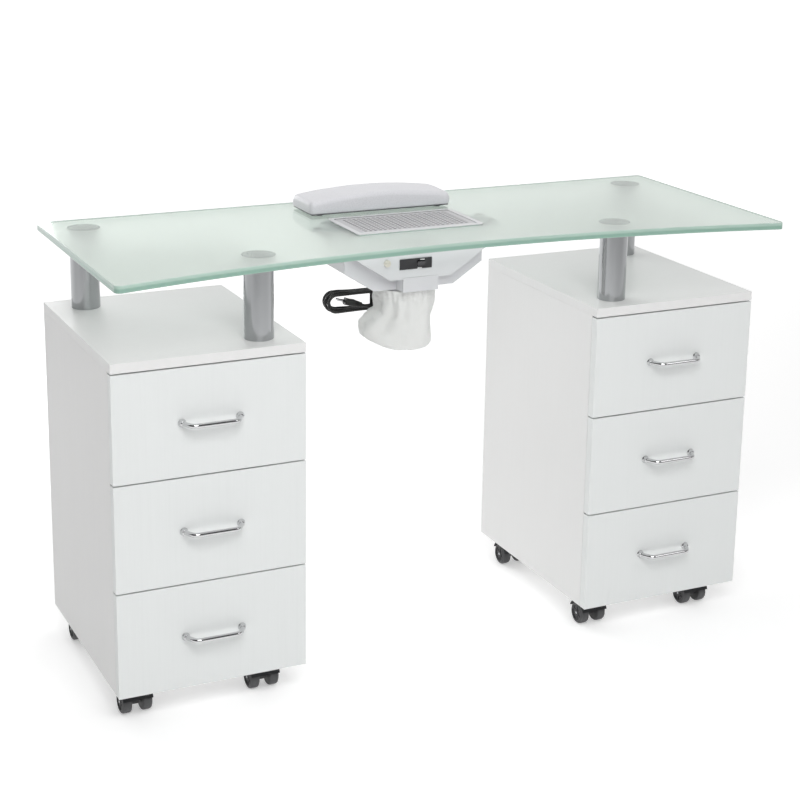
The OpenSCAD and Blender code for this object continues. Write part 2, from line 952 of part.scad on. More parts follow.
// Slim two-pin plug lying inside the hank's loop
module power_plug() {
    tail = [-64, 590];
    rise = 17;
    half_w = 6.5;
    neck_r = 4;
    neck_l = 12;
    body_l = 34;
    prong_r = 2;
    prong_y = 4.2;
    prong_l = 16;
    color([0.1, 0.1, 0.1])
        translate([tail[0], hank_y - (hank_layers - 1) / 2 * hank_pitch, tail[1]])
            rotate([0, rise, 0])
                mirror([1, 0, 0]) {
                    rotate([0, 90, 0])
                        cylinder(r1 = neck_r, r2 = half_w, h = neck_l);
                    translate([neck_l - 2, -half_w, -half_w])
                        cube([body_l - neck_l + 2, 2 * half_w, 2 * half_w]);
                    for (y = [-1, 1])
                        translate([body_l - 1, y * prong_y, 0])
                            rotate([0, 90, 0])
                                cylinder(r = prong_r, h = prong_l + 1);
                }
}

// ---------------------------------------------------------------- what is drawn

glass_top();
support_posts();
post_discs();
cabinet(LEFT);  // left_cabinet
cabinet(RIGHT);  // right_cabinet
runner_rails();
caster_plates();
assembly_screws();
grille_frame();
grille();
extractor_housing();
control_panel();
switch_plate();
rocker_switch();
fuse_cap();
outlet_duct();
fan_motor();
fan_impeller();
clamp_brackets();
dust_bag();
wrist_cushion();
cord_gland();
power_cord();
cord_hank();
cord_tie();
power_plug();
drawer_front(LEFT, TOP);  // left_top_front
drawer_box(LEFT, TOP);  // left_top_box
drawer_handle(LEFT, TOP);  // left_top_handle
drawer_front(LEFT, MIDDLE);  // left_middle_front
drawer_box(LEFT, MIDDLE);  // left_middle_box
drawer_handle(LEFT, MIDDLE);  // left_middle_handle
drawer_front(LEFT, BOTTOM);  // left_bottom_front
drawer_box(LEFT, BOTTOM);  // left_bottom_box
drawer_handle(LEFT, BOTTOM);  // left_bottom_handle
drawer_front(RIGHT, TOP);  // right_top_front
drawer_box(RIGHT, TOP);  // right_top_box
drawer_handle(RIGHT, TOP);  // right_top_handle
drawer_front(RIGHT, MIDDLE);  // right_middle_front
drawer_box(RIGHT, MIDDLE);  // right_middle_box
drawer_handle(RIGHT, MIDDLE);  // right_middle_handle
drawer_front(RIGHT, BOTTOM);  // right_bottom_front
drawer_box(RIGHT, BOTTOM);  // right_bottom_box
drawer_handle(RIGHT, BOTTOM);  // right_bottom_handle
caster_fork(LEFT, FRONT, OUTER);  // left_front_outer_fork
caster_wheels(LEFT, FRONT, OUTER);  // left_front_outer_wheels
caster_fork(LEFT, FRONT, INNER);  // left_front_inner_fork
caster_wheels(LEFT, FRONT, INNER);  // left_front_inner_wheels
caster_fork(LEFT, BACK, OUTER);  // left_back_outer_fork
caster_wheels(LEFT, BACK, OUTER);  // left_back_outer_wheels
caster_fork(LEFT, BACK, INNER);  // left_back_inner_fork
caster_wheels(LEFT, BACK, INNER);  // left_back_inner_wheels
caster_fork(RIGHT, FRONT, OUTER);  // right_front_outer_fork
caster_wheels(RIGHT, FRONT, OUTER);  // right_front_outer_wheels
caster_fork(RIGHT, FRONT, INNER);  // right_front_inner_fork
caster_wheels(RIGHT, FRONT, INNER);  // right_front_inner_wheels
caster_fork(RIGHT, BACK, OUTER);  // right_back_outer_fork
caster_wheels(RIGHT, BACK, OUTER);  // right_back_outer_wheels
caster_fork(RIGHT, BACK, INNER);  // right_back_inner_fork
caster_wheels(RIGHT, BACK, INNER);  // right_back_inner_wheels
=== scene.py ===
"""Manicure table: the looks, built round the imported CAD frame.

Lengths are metres in the frame's own axes: +X along the table, the drawers open towards -Y,
+Z up, the floor at z = 0.
"""

import json
import math

import bmesh
import bpy
from mathutils import Matrix, Vector, noise
from mathutils.bvhtree import BVHTree


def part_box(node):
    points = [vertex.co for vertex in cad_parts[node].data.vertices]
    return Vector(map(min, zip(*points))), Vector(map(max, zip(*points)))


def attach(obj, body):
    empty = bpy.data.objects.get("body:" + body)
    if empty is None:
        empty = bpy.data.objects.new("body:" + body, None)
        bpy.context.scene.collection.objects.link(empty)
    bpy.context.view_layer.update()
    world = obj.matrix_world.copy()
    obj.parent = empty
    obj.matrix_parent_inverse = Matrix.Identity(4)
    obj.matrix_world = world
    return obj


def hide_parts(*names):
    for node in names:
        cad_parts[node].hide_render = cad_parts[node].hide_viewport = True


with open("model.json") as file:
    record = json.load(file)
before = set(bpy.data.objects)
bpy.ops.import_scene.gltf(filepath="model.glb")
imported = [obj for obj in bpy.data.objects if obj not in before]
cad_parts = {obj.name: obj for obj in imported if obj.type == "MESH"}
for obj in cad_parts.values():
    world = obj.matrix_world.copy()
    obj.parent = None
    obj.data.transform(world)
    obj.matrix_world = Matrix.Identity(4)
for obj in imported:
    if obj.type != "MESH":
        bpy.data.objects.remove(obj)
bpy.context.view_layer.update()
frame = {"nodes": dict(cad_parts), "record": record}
record = frame["record"]
BODY_OF = {n: body for body, nodes in record["behaviour"]["bodies"].items() for n in nodes}

X = Vector((1, 0, 0))
Y = Vector((0, 1, 0))
Z = Vector((0, 0, 1))
SIDES = ("left", "right")
ROWS = ("top", "middle", "bottom")
CORNERS = [f"{s}_{d}_{a}" for s in SIDES for d in ("front", "back") for a in ("outer", "inner")]


def mid(node):
    """The middle of a CAD node's box."""
    low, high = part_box(node)
    return (low + high) / 2


def half(node):
    """Half the size of a CAD node's box."""
    low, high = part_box(node)
    return (high - low) / 2


# ---------------------------------------------------------------- mesh helpers


def put(name, data):
    """A new object in the scene."""
    thing = bpy.data.objects.new(name, data)
    bpy.context.scene.collection.objects.link(thing)
    return thing


def finish_mesh(name, bm, materials, nodes, sharp=35, body=None):
    """Turns a bmesh into a piece that rides with, and stands for, the named CAD nodes."""
    bmesh.ops.recalc_face_normals(bm, faces=bm.faces)
    limit = math.radians(sharp)
    for face in bm.faces:
        face.smooth = True
    for edge in bm.edges:
        edge.smooth = len(edge.link_faces) != 2 or edge.calc_face_angle(0) < limit
    mesh = bpy.data.meshes.new(name)
    bm.to_mesh(mesh)
    bm.free()
    for material in materials:
        mesh.materials.append(material)
    piece = put(name, mesh)
    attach(piece, body or BODY_OF[nodes[0]])
    if nodes and body is None:
        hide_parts(*nodes)
    return piece


def round_edges(piece, width, segments=3, angle=30):
    """Rounds every edge sharper than angle."""
    bevel = piece.modifiers.new("round", "BEVEL")
    bevel.width = width
    bevel.segments = segments
    bevel.limit_method = "ANGLE"
    bevel.angle_limit = math.radians(angle)
    bevel.harden_normals = True
    bevel.miter_outer = "MITER_ARC"
    return piece


def smooth_out(piece):
    """Subdivides a soft piece once."""
    smooth = piece.modifiers.new("smooth", "SUBSURF")
    smooth.levels = 1
    smooth.render_levels = 1


def cad_mesh(node):
    """A copy of a CAD node's mesh, welded, with flat faces made whole again."""
    bm = bmesh.new()
    bm.from_mesh(frame["nodes"][node].data)
    bmesh.ops.remove_doubles(bm, verts=bm.verts, dist=1e-5)
    bmesh.ops.dissolve_limit(
        bm, angle_limit=math.radians(0.6), verts=bm.verts, edges=bm.edges
    )
    return bm


def dressed(node, name, materials, width, segments=2, mesh=None):
    """A piece made from a CAD node's own mesh, with its finishes and rounded edges."""
    piece = finish_mesh(name, mesh or cad_mesh(node), materials, [node])
    round_edges(piece, width, segments)


def place(direction, origin=(0, 0, 0)):
    """Matrix that turns +Z into direction and moves to origin."""
    turn = Z.rotation_difference(Vector(direction)).to_matrix().to_4x4()
    return Matrix.Translation(origin) @ turn


def lathe(bm, profile, matrix, segments=48, index=0):
    """Turns (radius, height) points about Z. Its UV runs round and along the profile."""
    uv = bm.loops.layers.uv.get("turn") or bm.loops.layers.uv.new("turn")
    rings = []
    for radius, height in profile:
        count = segments if radius > 1e-7 else 1
        angles = [2 * math.pi * k / segments for k in range(count)]
        points = [(radius * math.cos(a), radius * math.sin(a), height) for a in angles]
        rings.append([bm.verts.new(matrix @ Vector(p)) for p in points])
    along = [0.0]
    for a, b in zip(profile, profile[1:]):
        along.append(along[-1] + math.dist(a, b))
    for j, (low, high) in enumerate(zip(rings, rings[1:])):
        for k in range(segments):
            after = (k + 1) % segments
            used = {}
            for ring, at, around, up in (
                (low, k, k, j), (low, after, k + 1, j), (high, after, k + 1, j + 1), (high, k, k, j + 1)
            ):
                used.setdefault(ring[at % len(ring)], (around / segments, along[up]))
            if len(used) < 3:
                continue
            face = bm.faces.new(list(used))
            face.material_index = index
            for loop, mark in zip(face.loops, used.values()):
                loop[uv].uv = mark


def skin(bm, rings, capped=True, index=0):
    """Joins rings of the same count by quads, and closes both ends if asked."""
    for low, high in zip(rings, rings[1:]):
        for k in range(len(low)):
            after = (k + 1) % len(low)
            bm.faces.new([low[k], low[after], high[after], high[k]]).material_index = index
    if capped:
        bm.faces.new(rings[0][::-1]).material_index = index
        bm.faces.new(rings[-1]).material_index = index


def sweep(bm, points, radius, sides):
    """A round closed tube along a path."""
    normal = None
    rings = []
    for i, point in enumerate(points):
        ahead = (points[min(i + 1, len(points) - 1)] - points[max(i - 1, 0)]).normalized()
        if normal is None:
            normal = ahead.orthogonal().normalized()
        normal = (normal - ahead * normal.dot(ahead)).normalized()
        other = ahead.cross(normal)
        ring = []
        for k in range(sides):
            a = 2 * math.pi * k / sides
            offset = normal * math.cos(a) + other * math.sin(a)
            ring.append(bm.verts.new(point + offset * radius))
        rings.append(ring)
    skin(bm, rings)


def block(bm, low, high, matrix=Matrix.Identity(4), index=0):
    """A box between two corners."""
    spots = [(x, y, z) for x in (low[0], high[0]) for y in (low[1], high[1]) for z in (low[2], high[2])]
    v = [bm.verts.new(matrix @ Vector(s)) for s in spots]
    for a, b, c, d in ((0, 1, 3, 2), (4, 6, 7, 5), (0, 4, 5, 1), (2, 3, 7, 6), (0, 2, 6, 4), (1, 5, 7, 3)):
        bm.faces.new([v[a], v[b], v[c], v[d]]).material_index = index


def prism(bm, outline, z0, z1, matrix=Matrix.Identity(4), index=0):
    """An outline in X and Y extruded from z0 to z1."""
    ends = [[bm.verts.new(matrix @ Vector((x, y, z))) for x, y in outline] for z in (z0, z1)]
    skin(bm, ends, index=index)


def polygon(radius, sides=6, flute=0.0):
    """Corners of a hexagon, or of another regular outline, with twelve flutes if asked."""
    turns = [2 * math.pi * k / sides for k in range(sides)]
    reach = [radius + flute * math.cos(12 * a) for a in turns]
    return [(r * math.cos(a), r * math.sin(a)) for a, r in zip(turns, reach)]


def smoothstep(low, high, value):
    t = max(0.0, min(1.0, (value - low) / (high - low)))
    return t * t * (3 - 2 * t)


# ---------------------------------------------------------------- material helpers


def map_range(tree, value, source, target, kind="LINEAR"):
    """Maps the source range to the target range, clamped."""
    node = tree.nodes.new("ShaderNodeMapRange")
    node.interpolation_type = kind
    for end, number, to_number in zip(("Min", "Max"), source, target):
        node.inputs[f"From {end}"].default_value = number
        node.inputs[f"To {end}"].default_value = to_number
    tree.links.new(value, node.inputs["Value"])
    return node.outputs["Result"]


class Finish:
    """A Principled material built up from procedural layers in object space, in metres."""

    def __init__(self, name, colour, rough, metal=0.0):
        self.material = bpy.data.materials.new(name)
        self.material.use_nodes = True
        self.tree = self.material.node_tree
        self.shader = self.tree.nodes["Principled BSDF"]
        self.output = self.tree.nodes["Material Output"]
        self.set("Base Color", (*colour, 1))
        self.set("Roughness", rough)
        self.set("Metallic", metal)
        self.material.diffuse_color = (*colour, 1)
        self.coords = self.add("ShaderNodeTexCoord").outputs["Object"]

    def add(self, kind, **settings):
        node = self.tree.nodes.new(kind)
        for key, value in settings.items():
            setattr(node, key, value)
        return node

    def link(self, source, target):
        self.tree.links.new(source, target)

    def set(self, name, value):
        self.shader.inputs[name].default_value = value

    def scaled(self, scale, coords=None):
        """The coordinates times a scale: one number, or one each for X, Y and Z."""
        mapping = self.add("ShaderNodeMapping")
        mapping.inputs["Scale"].default_value = scale if isinstance(scale, tuple) else (scale,) * 3
        self.link(coords or self.coords, mapping.inputs["Vector"])
        return mapping.outputs["Vector"]

    def noise(self, scale, detail=2.0, rough=0.5, coords=None):
        node = self.add("ShaderNodeTexNoise")
        node.inputs["Scale"].default_value = 1.0
        node.inputs["Detail"].default_value = detail
        node.inputs["Roughness"].default_value = rough
        self.link(self.scaled(scale, coords), node.inputs["Vector"])
        return node.outputs["Fac"]

    def cells(self, scale):
        node = self.add("ShaderNodeTexVoronoi")
        node.inputs["Scale"].default_value = 1.0
        self.link(self.scaled(scale), node.inputs["Vector"])
        return node.outputs["Distance"]

    def stripes(self, pitch, axis, coords=None, distortion=0.0):
        """Sine bands of that pitch across one axis."""
        node = self.add("ShaderNodeTexWave", bands_direction=axis)
        node.inputs["Scale"].default_value = 1.0
        node.inputs["Distortion"].default_value = distortion
        self.link(self.scaled(math.pi / 10 / pitch, coords), node.inputs["Vector"])
        return node.outputs["Fac"]

    def span(self, value, low, high, to_low=0.0, to_high=1.0):
        return map_range(self.tree, value, (low, high), (to_low, to_high))

    def maths(self, operation, a, b):
        node = self.add("ShaderNodeMath", operation=operation)
        for socket, value in zip(node.inputs, (a, b)):
            if isinstance(value, (int, float)):
                socket.default_value = value
            else:
                self.link(value, socket)
        return node.outputs[0]

    def tint(self, mask, colour):
        """Moves the base colour to colour where the mask is 1."""
        mix = self.add("ShaderNodeMix", data_type="RGBA")
        base = self.shader.inputs["Base Color"]
        if base.is_linked:
            self.link(base.links[0].from_socket, mix.inputs[6])
        else:
            mix.inputs[6].default_value = base.default_value
        mix.inputs[7].default_value = (*colour, 1)
        self.link(mask, mix.inputs[0])
        self.link(mix.outputs[2], base)
        return self

    def roughen(self, mask, low, high):
        """Roughness runs from low to high with the mask."""
        self.link(self.span(mask, 0, 1, low, high), self.shader.inputs["Roughness"])
        return self

    def bump(self, height, depth, strength=1.0):
        """Adds relief of that depth in metres."""
        node = self.add("ShaderNodeBump")
        node.inputs["Distance"].default_value = depth
        node.inputs["Strength"].default_value = strength
        target = self.shader.inputs["Normal"]
        if target.is_linked:
            self.link(target.links[0].from_socket, node.inputs["Normal"])
        self.link(height, node.inputs["Height"])
        self.link(node.outputs["Normal"], target)
        return self

    def height(self):
        """The object's own Z coordinate."""
        split = self.add("ShaderNodeSeparateXYZ")
        self.link(self.coords, split.inputs[0])
        return split.outputs["Z"]

    def turned(self, amount):
        """Stretches highlights round a lathe piece, as machining marks do."""
        tangent = self.add("ShaderNodeTangent", direction_type="UV_MAP", uv_map="turn")
        self.link(tangent.outputs["Tangent"], self.shader.inputs["Tangent"])
        self.set("Anisotropic", amount)
        return self


def shade(colour, factor):
    """A colour times a factor."""
    return tuple(min(1.0, c * factor) for c in colour)


# ---------------------------------------------------------------- materials


def melamine(name, colour):
    """White melamine board: faint upright grain, fine pores and a soft sheen."""
    look = Finish(name, colour, 0.42)
    streaks = look.noise((300, 300, 6), detail=4, rough=0.6)
    look.tint(look.span(streaks, 0.45, 0.70), shade(colour, 0.984))
    fine = look.noise((900, 900, 14), detail=3, rough=0.6)
    look.tint(look.span(fine, 0.5, 0.75, 0, 0.6), shade(colour, 0.975))
    broad = look.noise((2.5, 2.5, 1.2), detail=2)
    look.tint(look.span(broad, 0.35, 0.75, 0, 0.5), shade(colour, 0.985))
    scuffs = look.noise((30, 30, 4), detail=5, rough=0.7)
    low_down = look.span(look.height(), 0.05, 0.09, 0.5, 0)
    look.tint(look.maths("MULTIPLY", look.span(scuffs, 0.62, 0.72), low_down), shade(colour, 0.85))
    look.roughen(look.noise((40, 40, 6), detail=3), 0.34, 0.48)
    look.bump(look.noise((1400, 1400, 60), detail=3, rough=0.7), 0.00004)
    look.bump(look.noise((160, 160, 5), detail=2), 0.00005, 0.6)
    return look.material


def board_edge(name, colour):
    """Plastic edge band of the boards: smoother, a hair darker."""
    look = Finish(name, colour, 0.34)
    look.tint(look.noise((90, 90, 12), detail=3), shade(colour, 0.96))
    look.roughen(look.noise((60, 60, 20), detail=3), 0.28, 0.42)
    look.bump(look.noise((900, 900, 120), detail=2), 0.00004)
    return look.material


def glass_face(name, rough_low, rough_high):
    """Face of the etched glass. Lamps and bounced light pass straight through it."""
    look = Finish(name, (0.675, 0.77, 0.705), rough_low)
    look.set("Transmission Weight", 0.88)
    look.set("IOR", 1.46)
    look.tint(look.noise(5, detail=3), (0.695, 0.78, 0.72))
    look.roughen(look.noise(700, detail=4, rough=0.7), rough_low, rough_high)
    look.bump(look.noise(2600, detail=2), 0.000002)
    clear = look.add("ShaderNodeBsdfTransparent")
    clear.inputs["Color"].default_value = (0.925, 0.945, 0.935, 1)
    path = look.add("ShaderNodeLightPath")
    passing = look.maths("MAXIMUM", path.outputs["Is Shadow Ray"], path.outputs["Is Diffuse Ray"])
    mix = look.add("ShaderNodeMixShader")
    look.link(passing, mix.inputs[0])
    look.link(look.shader.outputs[0], mix.inputs[1])
    look.link(clear.outputs[0], mix.inputs[2])
    look.link(mix.outputs[0], look.output.inputs["Surface"])
    return look.material


def glass_edge():
    """Polished edge: deep green, with painted highlights that make it paler towards the upper arris and
    along the lower arris, with faint grinding waves.
    """
    low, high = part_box("glass_top")
    look = Finish("glass_edge", (0.24, 0.40, 0.325), 0.10)
    up = look.span(look.height(), low.z, high.z)
    # painted highlights: paler bands towards the upper arris (next two lines) and along the lower arris
    # (third line)
    look.tint(look.span(up, 0.45, 0.70), (0.42, 0.57, 0.50))
    look.tint(look.span(up, 0.84, 0.97), (0.56, 0.68, 0.62))
    look.tint(look.span(up, 0.16, 0.0, 0, 0.8), (0.36, 0.50, 0.43))
    look.tint(look.span(look.noise((14, 14, 60), detail=3), 0.45, 0.8, 0, 0.35), (0.28, 0.42, 0.36))
    look.roughen(look.noise((200, 200, 900), detail=3), 0.08, 0.22)
    look.bump(look.noise((40, 40, 1500), detail=2), 0.00002)
    look.set("Coat Weight", 0.3)
    look.set("Coat Roughness", 0.05)
    return look.material


def metal(name, colour, rough, grain, spread=0.10, depth=0.00001, anisotropic=0.0):
    """Metal whose fine marks follow grain, a scale for the noise."""
    look = Finish(name, colour, rough, 1.0)
    marks = look.noise(grain, detail=4, rough=0.65)
    look.roughen(marks, rough, rough + spread)
    look.tint(look.span(look.noise(12, detail=3), 0.4, 0.8, 0, 0.6), shade(colour, 0.94))
    look.bump(marks, depth)
    if anisotropic:
        look.turned(anisotropic)
    return look.material


def plastic(name, colour, rough, depth=0.00003, grain=1500, darker=0.94, coat=0.0):
    """Moulded plastic with a fine eroded texture and slight flow marks."""
    look = Finish(name, colour, rough)
    look.tint(look.noise(9, detail=4), shade(colour, darker))
    look.roughen(look.noise(70, detail=4), rough - 0.05, rough + 0.09)
    look.bump(look.noise(grain, detail=2), depth)
    if coat:
        look.set("Coat Weight", coat)
        look.set("Coat Roughness", 0.12)
    return look.material


def leatherette():
    """White leatherette: pebbled grain with painted shade in its valleys, soft sheen."""
    colour = (0.76, 0.76, 0.79)
    look = Finish("cushion_leatherette", colour, 0.40)
    pebbles = look.span(look.cells(620), 0.0, 0.75)
    # painted shade: the grain's valleys, which the bump below sinks, are darker
    look.tint(look.span(pebbles, 0.55, 0.95), shade(colour, 0.93))
    look.tint(look.span(look.noise(6, detail=4), 0.4, 0.8, 0, 0.6), shade(colour, 0.95))
    look.roughen(look.noise(240, detail=4), 0.34, 0.50)
    look.bump(pebbles, -0.00007)
    look.bump(look.noise(55, detail=4), 0.0003, 0.35)
    look.set("Sheen Weight", 0.08)
    return look.material


def bag_cloth():
    """Plain-woven filter cloth. Its weave follows the bag's own UV, in metres."""
    colour = (0.92, 0.93, 0.91)
    look = Finish("bag_cloth", colour, 0.82)
    uv = look.add("ShaderNodeUVMap", uv_map="cloth").outputs["UV"]
    pitch = 0.0011
    over = look.stripes(pitch, "X", uv, 0.3)
    under = look.stripes(pitch, "Y", uv, 0.3)
    weave = look.maths("MAXIMUM", over, under)
    # painted shade: darker in the gaps between the threads, where the bump below sinks
    look.tint(look.span(weave, 0.95, 0.35, 0, 0.5), shade(colour, 0.86))
    look.tint(look.span(look.noise((22, 22, 12), detail=4), 0.45, 0.75, 0, 0.5), shade(colour, 0.94))
    look.roughen(look.noise(300, detail=3), 0.75, 0.92)
    look.bump(weave, 0.00012)
    look.bump(look.noise((120, 120, 90), detail=5, rough=0.6), 0.0009, 0.55)
    look.set("Sheen Weight", 0.25)
    look.set("Subsurface Weight", 0.25)
    look.shader.inputs["Subsurface Radius"].default_value = (0.02, 0.02, 0.02)
    look.shader.inputs["Subsurface Scale"].default_value = 0.3
    return look.material


def rubber(name, colour, rough):
    """Matt rubbery sheath with fine drag marks."""
    look = Finish(name, colour, rough)
    look.tint(look.noise(60, detail=4), shade(colour, 1.6))
    look.roughen(look.noise(220, detail=4), rough - 0.08, rough + 0.12)
    look.bump(look.noise(900, detail=3), 0.00004)
    return look.material


def webbing():
    """Woven hook-and-loop strap."""
    look = Finish("tie_webbing", (0.022, 0.022, 0.024), 0.85)
    ribs = look.maths("MAXIMUM", look.stripes(0.0009, "Z"), look.stripes(0.0009, "X"))
    # painted highlight and shade: the ribs, which the bump below raises, are lighter than the grooves
    look.tint(ribs, (0.045, 0.045, 0.048))
    look.bump(ribs, 0.00015)
    look.bump(look.noise(1200, detail=3), 0.0001)
    look.set("Sheen Weight", 0.3)
    return look.material


WHITE = (0.79, 0.79, 0.785)
COOL_WHITE = (0.765, 0.785, 0.78)
BOARD = melamine("melamine_board", WHITE)
BOARD_EDGE = board_edge("melamine_edge_band", WHITE)
FRONT_BOARD = melamine("melamine_front", COOL_WHITE)
FRONT_EDGE = board_edge("front_edge_band", COOL_WHITE)
GLASS_TOP = glass_face("glass_upper_face", 0.06, 0.10)
GLASS_UNDER = glass_face("glass_etched_face", 0.42, 0.54)
GLASS_EDGE = glass_edge()
ALUMINIUM = metal("satin_aluminium", (0.44, 0.45, 0.46), 0.08, (60, 60, 2400), 0.08)
DISC_METAL = metal("turned_aluminium", (0.40, 0.43, 0.42), 0.22, 500, anisotropic=0.95)
CHROME = metal("polished_chrome", (0.64, 0.64, 0.65), 0.045, 180, 0.06, 0.000004)
ZINC = metal("zinc_plate", (0.58, 0.59, 0.61), 0.30, (260, 40, 900), 0.16)
STEEL_DARK = metal("motor_steel", (0.33, 0.33, 0.35), 0.42, 900, 0.16)
WHITE_PLASTIC = plastic("white_moulding", (0.74, 0.745, 0.765), 0.36, coat=0.15)
PANEL_PLASTIC = plastic("panel_moulding", (0.76, 0.77, 0.785), 0.30, coat=0.25)
FRAME_PLASTIC = plastic("frame_moulding", (0.70, 0.705, 0.72), 0.34, coat=0.1)
GRILLE_PLASTIC = plastic("grille_moulding", (0.56, 0.56, 0.575), 0.42, darker=0.92)
# near black grille slot walls: painted shade inside the slots
SLOT_PAINTED_SHADE = plastic("grille_slot_walls_painted_shade", (0.06, 0.06, 0.064), 0.6, darker=0.7)
# near black for faces inside hollows: painted shade, not a moulding of its own
INNER_PAINTED_SHADE = plastic("inner_moulding", (0.045, 0.045, 0.048), 0.5, darker=0.8)
BLACK_PLASTIC = plastic("black_moulding", (0.018, 0.018, 0.020), 0.32, darker=1.5, coat=0.2)
ROCKER_PLASTIC = plastic("rocker_moulding", (0.030, 0.030, 0.033), 0.22, darker=1.4, coat=0.4)
MARK_WHITE = plastic("mark_white", (0.80, 0.80, 0.80), 0.5)
BEIGE_PLASTIC = plastic("beige_moulding", (0.78, 0.755, 0.67), 0.38, coat=0.1)
FAN_PLASTIC = plastic("fan_moulding", (0.09, 0.09, 0.10), 0.42, darker=0.8)
CASTER_PLASTIC = plastic("caster_moulding", (0.020, 0.020, 0.022), 0.38, darker=1.5)
WHEEL_PLASTIC = plastic("wheel_moulding", (0.035, 0.035, 0.037), 0.42, darker=1.4)
TREAD = rubber("wheel_tread", (0.060, 0.060, 0.062), 0.55)
SHEATH = rubber("cord_sheath", (0.016, 0.016, 0.016), 0.42)
PLUG_RUBBER = rubber("plug_moulding", (0.020, 0.020, 0.020), 0.38)
CUSHION_LEATHER = leatherette()
# near black base board: painted shade of the thin gap under the pad
BASE_BOARD_SHADE = plastic("cushion_base_board_painted_shade", (0.11, 0.11, 0.12), 0.6)
FOOT_RUBBER = rubber("foot_rubber", (0.035, 0.035, 0.036), 0.6)
BAG_CLOTH = bag_cloth()
TIE_WEBBING = webbing()

# ---------------------------------------------------------------- camera

CAMERA_AT = Vector((-1.307, -2.697, 1.405))
CAMERA_YAW = 25.38
CAMERA_PITCH = -14.95
CAMERA_ROLL = -0.859
CAMERA_LENS = 80.4
CAMERA_SHIFT = -0.12


def make_camera():
    data = bpy.data.cameras.new("camera")
    data.sensor_width = 36
    data.lens = CAMERA_LENS
    data.shift_y = CAMERA_SHIFT
    camera = put("camera", data)
    turn = Matrix.Rotation(math.radians(-CAMERA_YAW), 3, "Z")
    tip = Matrix.Rotation(math.radians(90 + CAMERA_PITCH), 3, "X")
    roll = Matrix.Rotation(math.radians(-CAMERA_ROLL), 3, "Z")
    camera.matrix_world = Matrix.Translation(CAMERA_AT) @ (turn @ tip @ roll).to_4x4()
    bpy.context.scene.camera = camera


make_camera()

# ---------------------------------------------------------------- mains lead

CORD_D = 0.005
CORD_EXIT = Vector((0.020, 0.076, 0.690))
# From the end of the strain relief, down behind the extractor, to the hank
LEAD = [
    (0.020, 0.106, 0.690), (0.020, 0.118, 0.685), (0.020, 0.126, 0.673),
    (0.020, 0.128, 0.658), (0.020, 0.127, 0.642), (0.020, 0.124, 0.624),
    (0.020, 0.121, 0.608), (0.0185, 0.1185, 0.595), (0.014, 0.1155, 0.5865),
    (0.007, 0.113, 0.582), (-0.002, 0.1105, 0.581), (-0.013, 0.109, 0.581),
]
HANK = Vector((-0.067, 0.095, 0.596))
HANK_RUN = 0.085
HANK_FOLD = 0.0155
HANK_PITCH = 0.0052
HANK_TURNS = 5
# How far each turn's left fold is stretched out and lifted
HANK_SET = [(0.001, 0.0012), (-0.004, 0.0028), (0.0025, 0.0), (-0.0025, 0.0020), (0.0005, -0.0006)]
PLUG_TAIL = Vector((-0.064, 0.082, 0.590))
PLUG_RISE = math.radians(17)
PLUG_WAY = Vector((-math.cos(PLUG_RISE), 0, math.sin(PLUG_RISE)))


def hank_turn(start_y, stretch, lift):
    """One turn: bottom run to the left, fold up, top run to the right, fold down.

    stretch and lift move the left fold, so that the strands lie a little apart.
    """
    flat = []
    for way in (-1, 1):
        for k in range(18):
            flat.append((way * HANK_RUN * (k / 18 - 0.5), way * HANK_FOLD))
        for k in range(12):
            a = math.pi * k / 12
            flat.append((
                way * (HANK_RUN / 2 + HANK_FOLD * math.sin(a)), way * HANK_FOLD * math.cos(a)
            ))
    steps = len(flat)
    points = []
    for k, (x, z) in enumerate(flat):
        out = smoothstep(0.0, -HANK_RUN / 2, x) if x < 0 else 0.0
        at = Vector((HANK.x + x - stretch * out, 0, HANK.z + z + lift * out))
        at.y = start_y - HANK_PITCH * k / steps
        points.append(at)
    return points


def cord_route():
    route = [CORD_EXIT + Y * 0.002, CORD_EXIT + Y * 0.016]
    route += [Vector(p) for p in LEAD]
    rear_y = HANK.y + HANK_PITCH * HANK_TURNS / 2
    for turn in range(HANK_TURNS):
        route += hank_turn(rear_y - HANK_PITCH * turn, *HANK_SET[turn])
    front_y = rear_y - HANK_PITCH * HANK_TURNS
    for x, z in ((-0.0245, 0.5805), (-0.034, 0.5809), (-0.044, 0.5834), (-0.054, 0.5867)):
        route.append(Vector((x, front_y, z)))
    route.append(PLUG_TAIL + PLUG_WAY * 0.004)
    return route


def smooth_route(route, steps=2):
    """Points of a Catmull-Rom curve through the route's own points."""
    fine = []
    for i in range(len(route) - 1):
        p0, p1 = route[max(i - 1, 0)], route[i]
        p2, p3 = route[i + 1], route[min(i + 2, len(route) - 1)]
        for k in range(steps):
            t = k / steps
            fine.append(0.5 * (
                2 * p1 + (p2 - p0) * t + (2 * p0 - 5 * p1 + 4 * p2 - p3) * t * t
                + (3 * p1 - p0 - 3 * p2 + p3) * t * t * t
            ))
    return fine + [route[-1]]


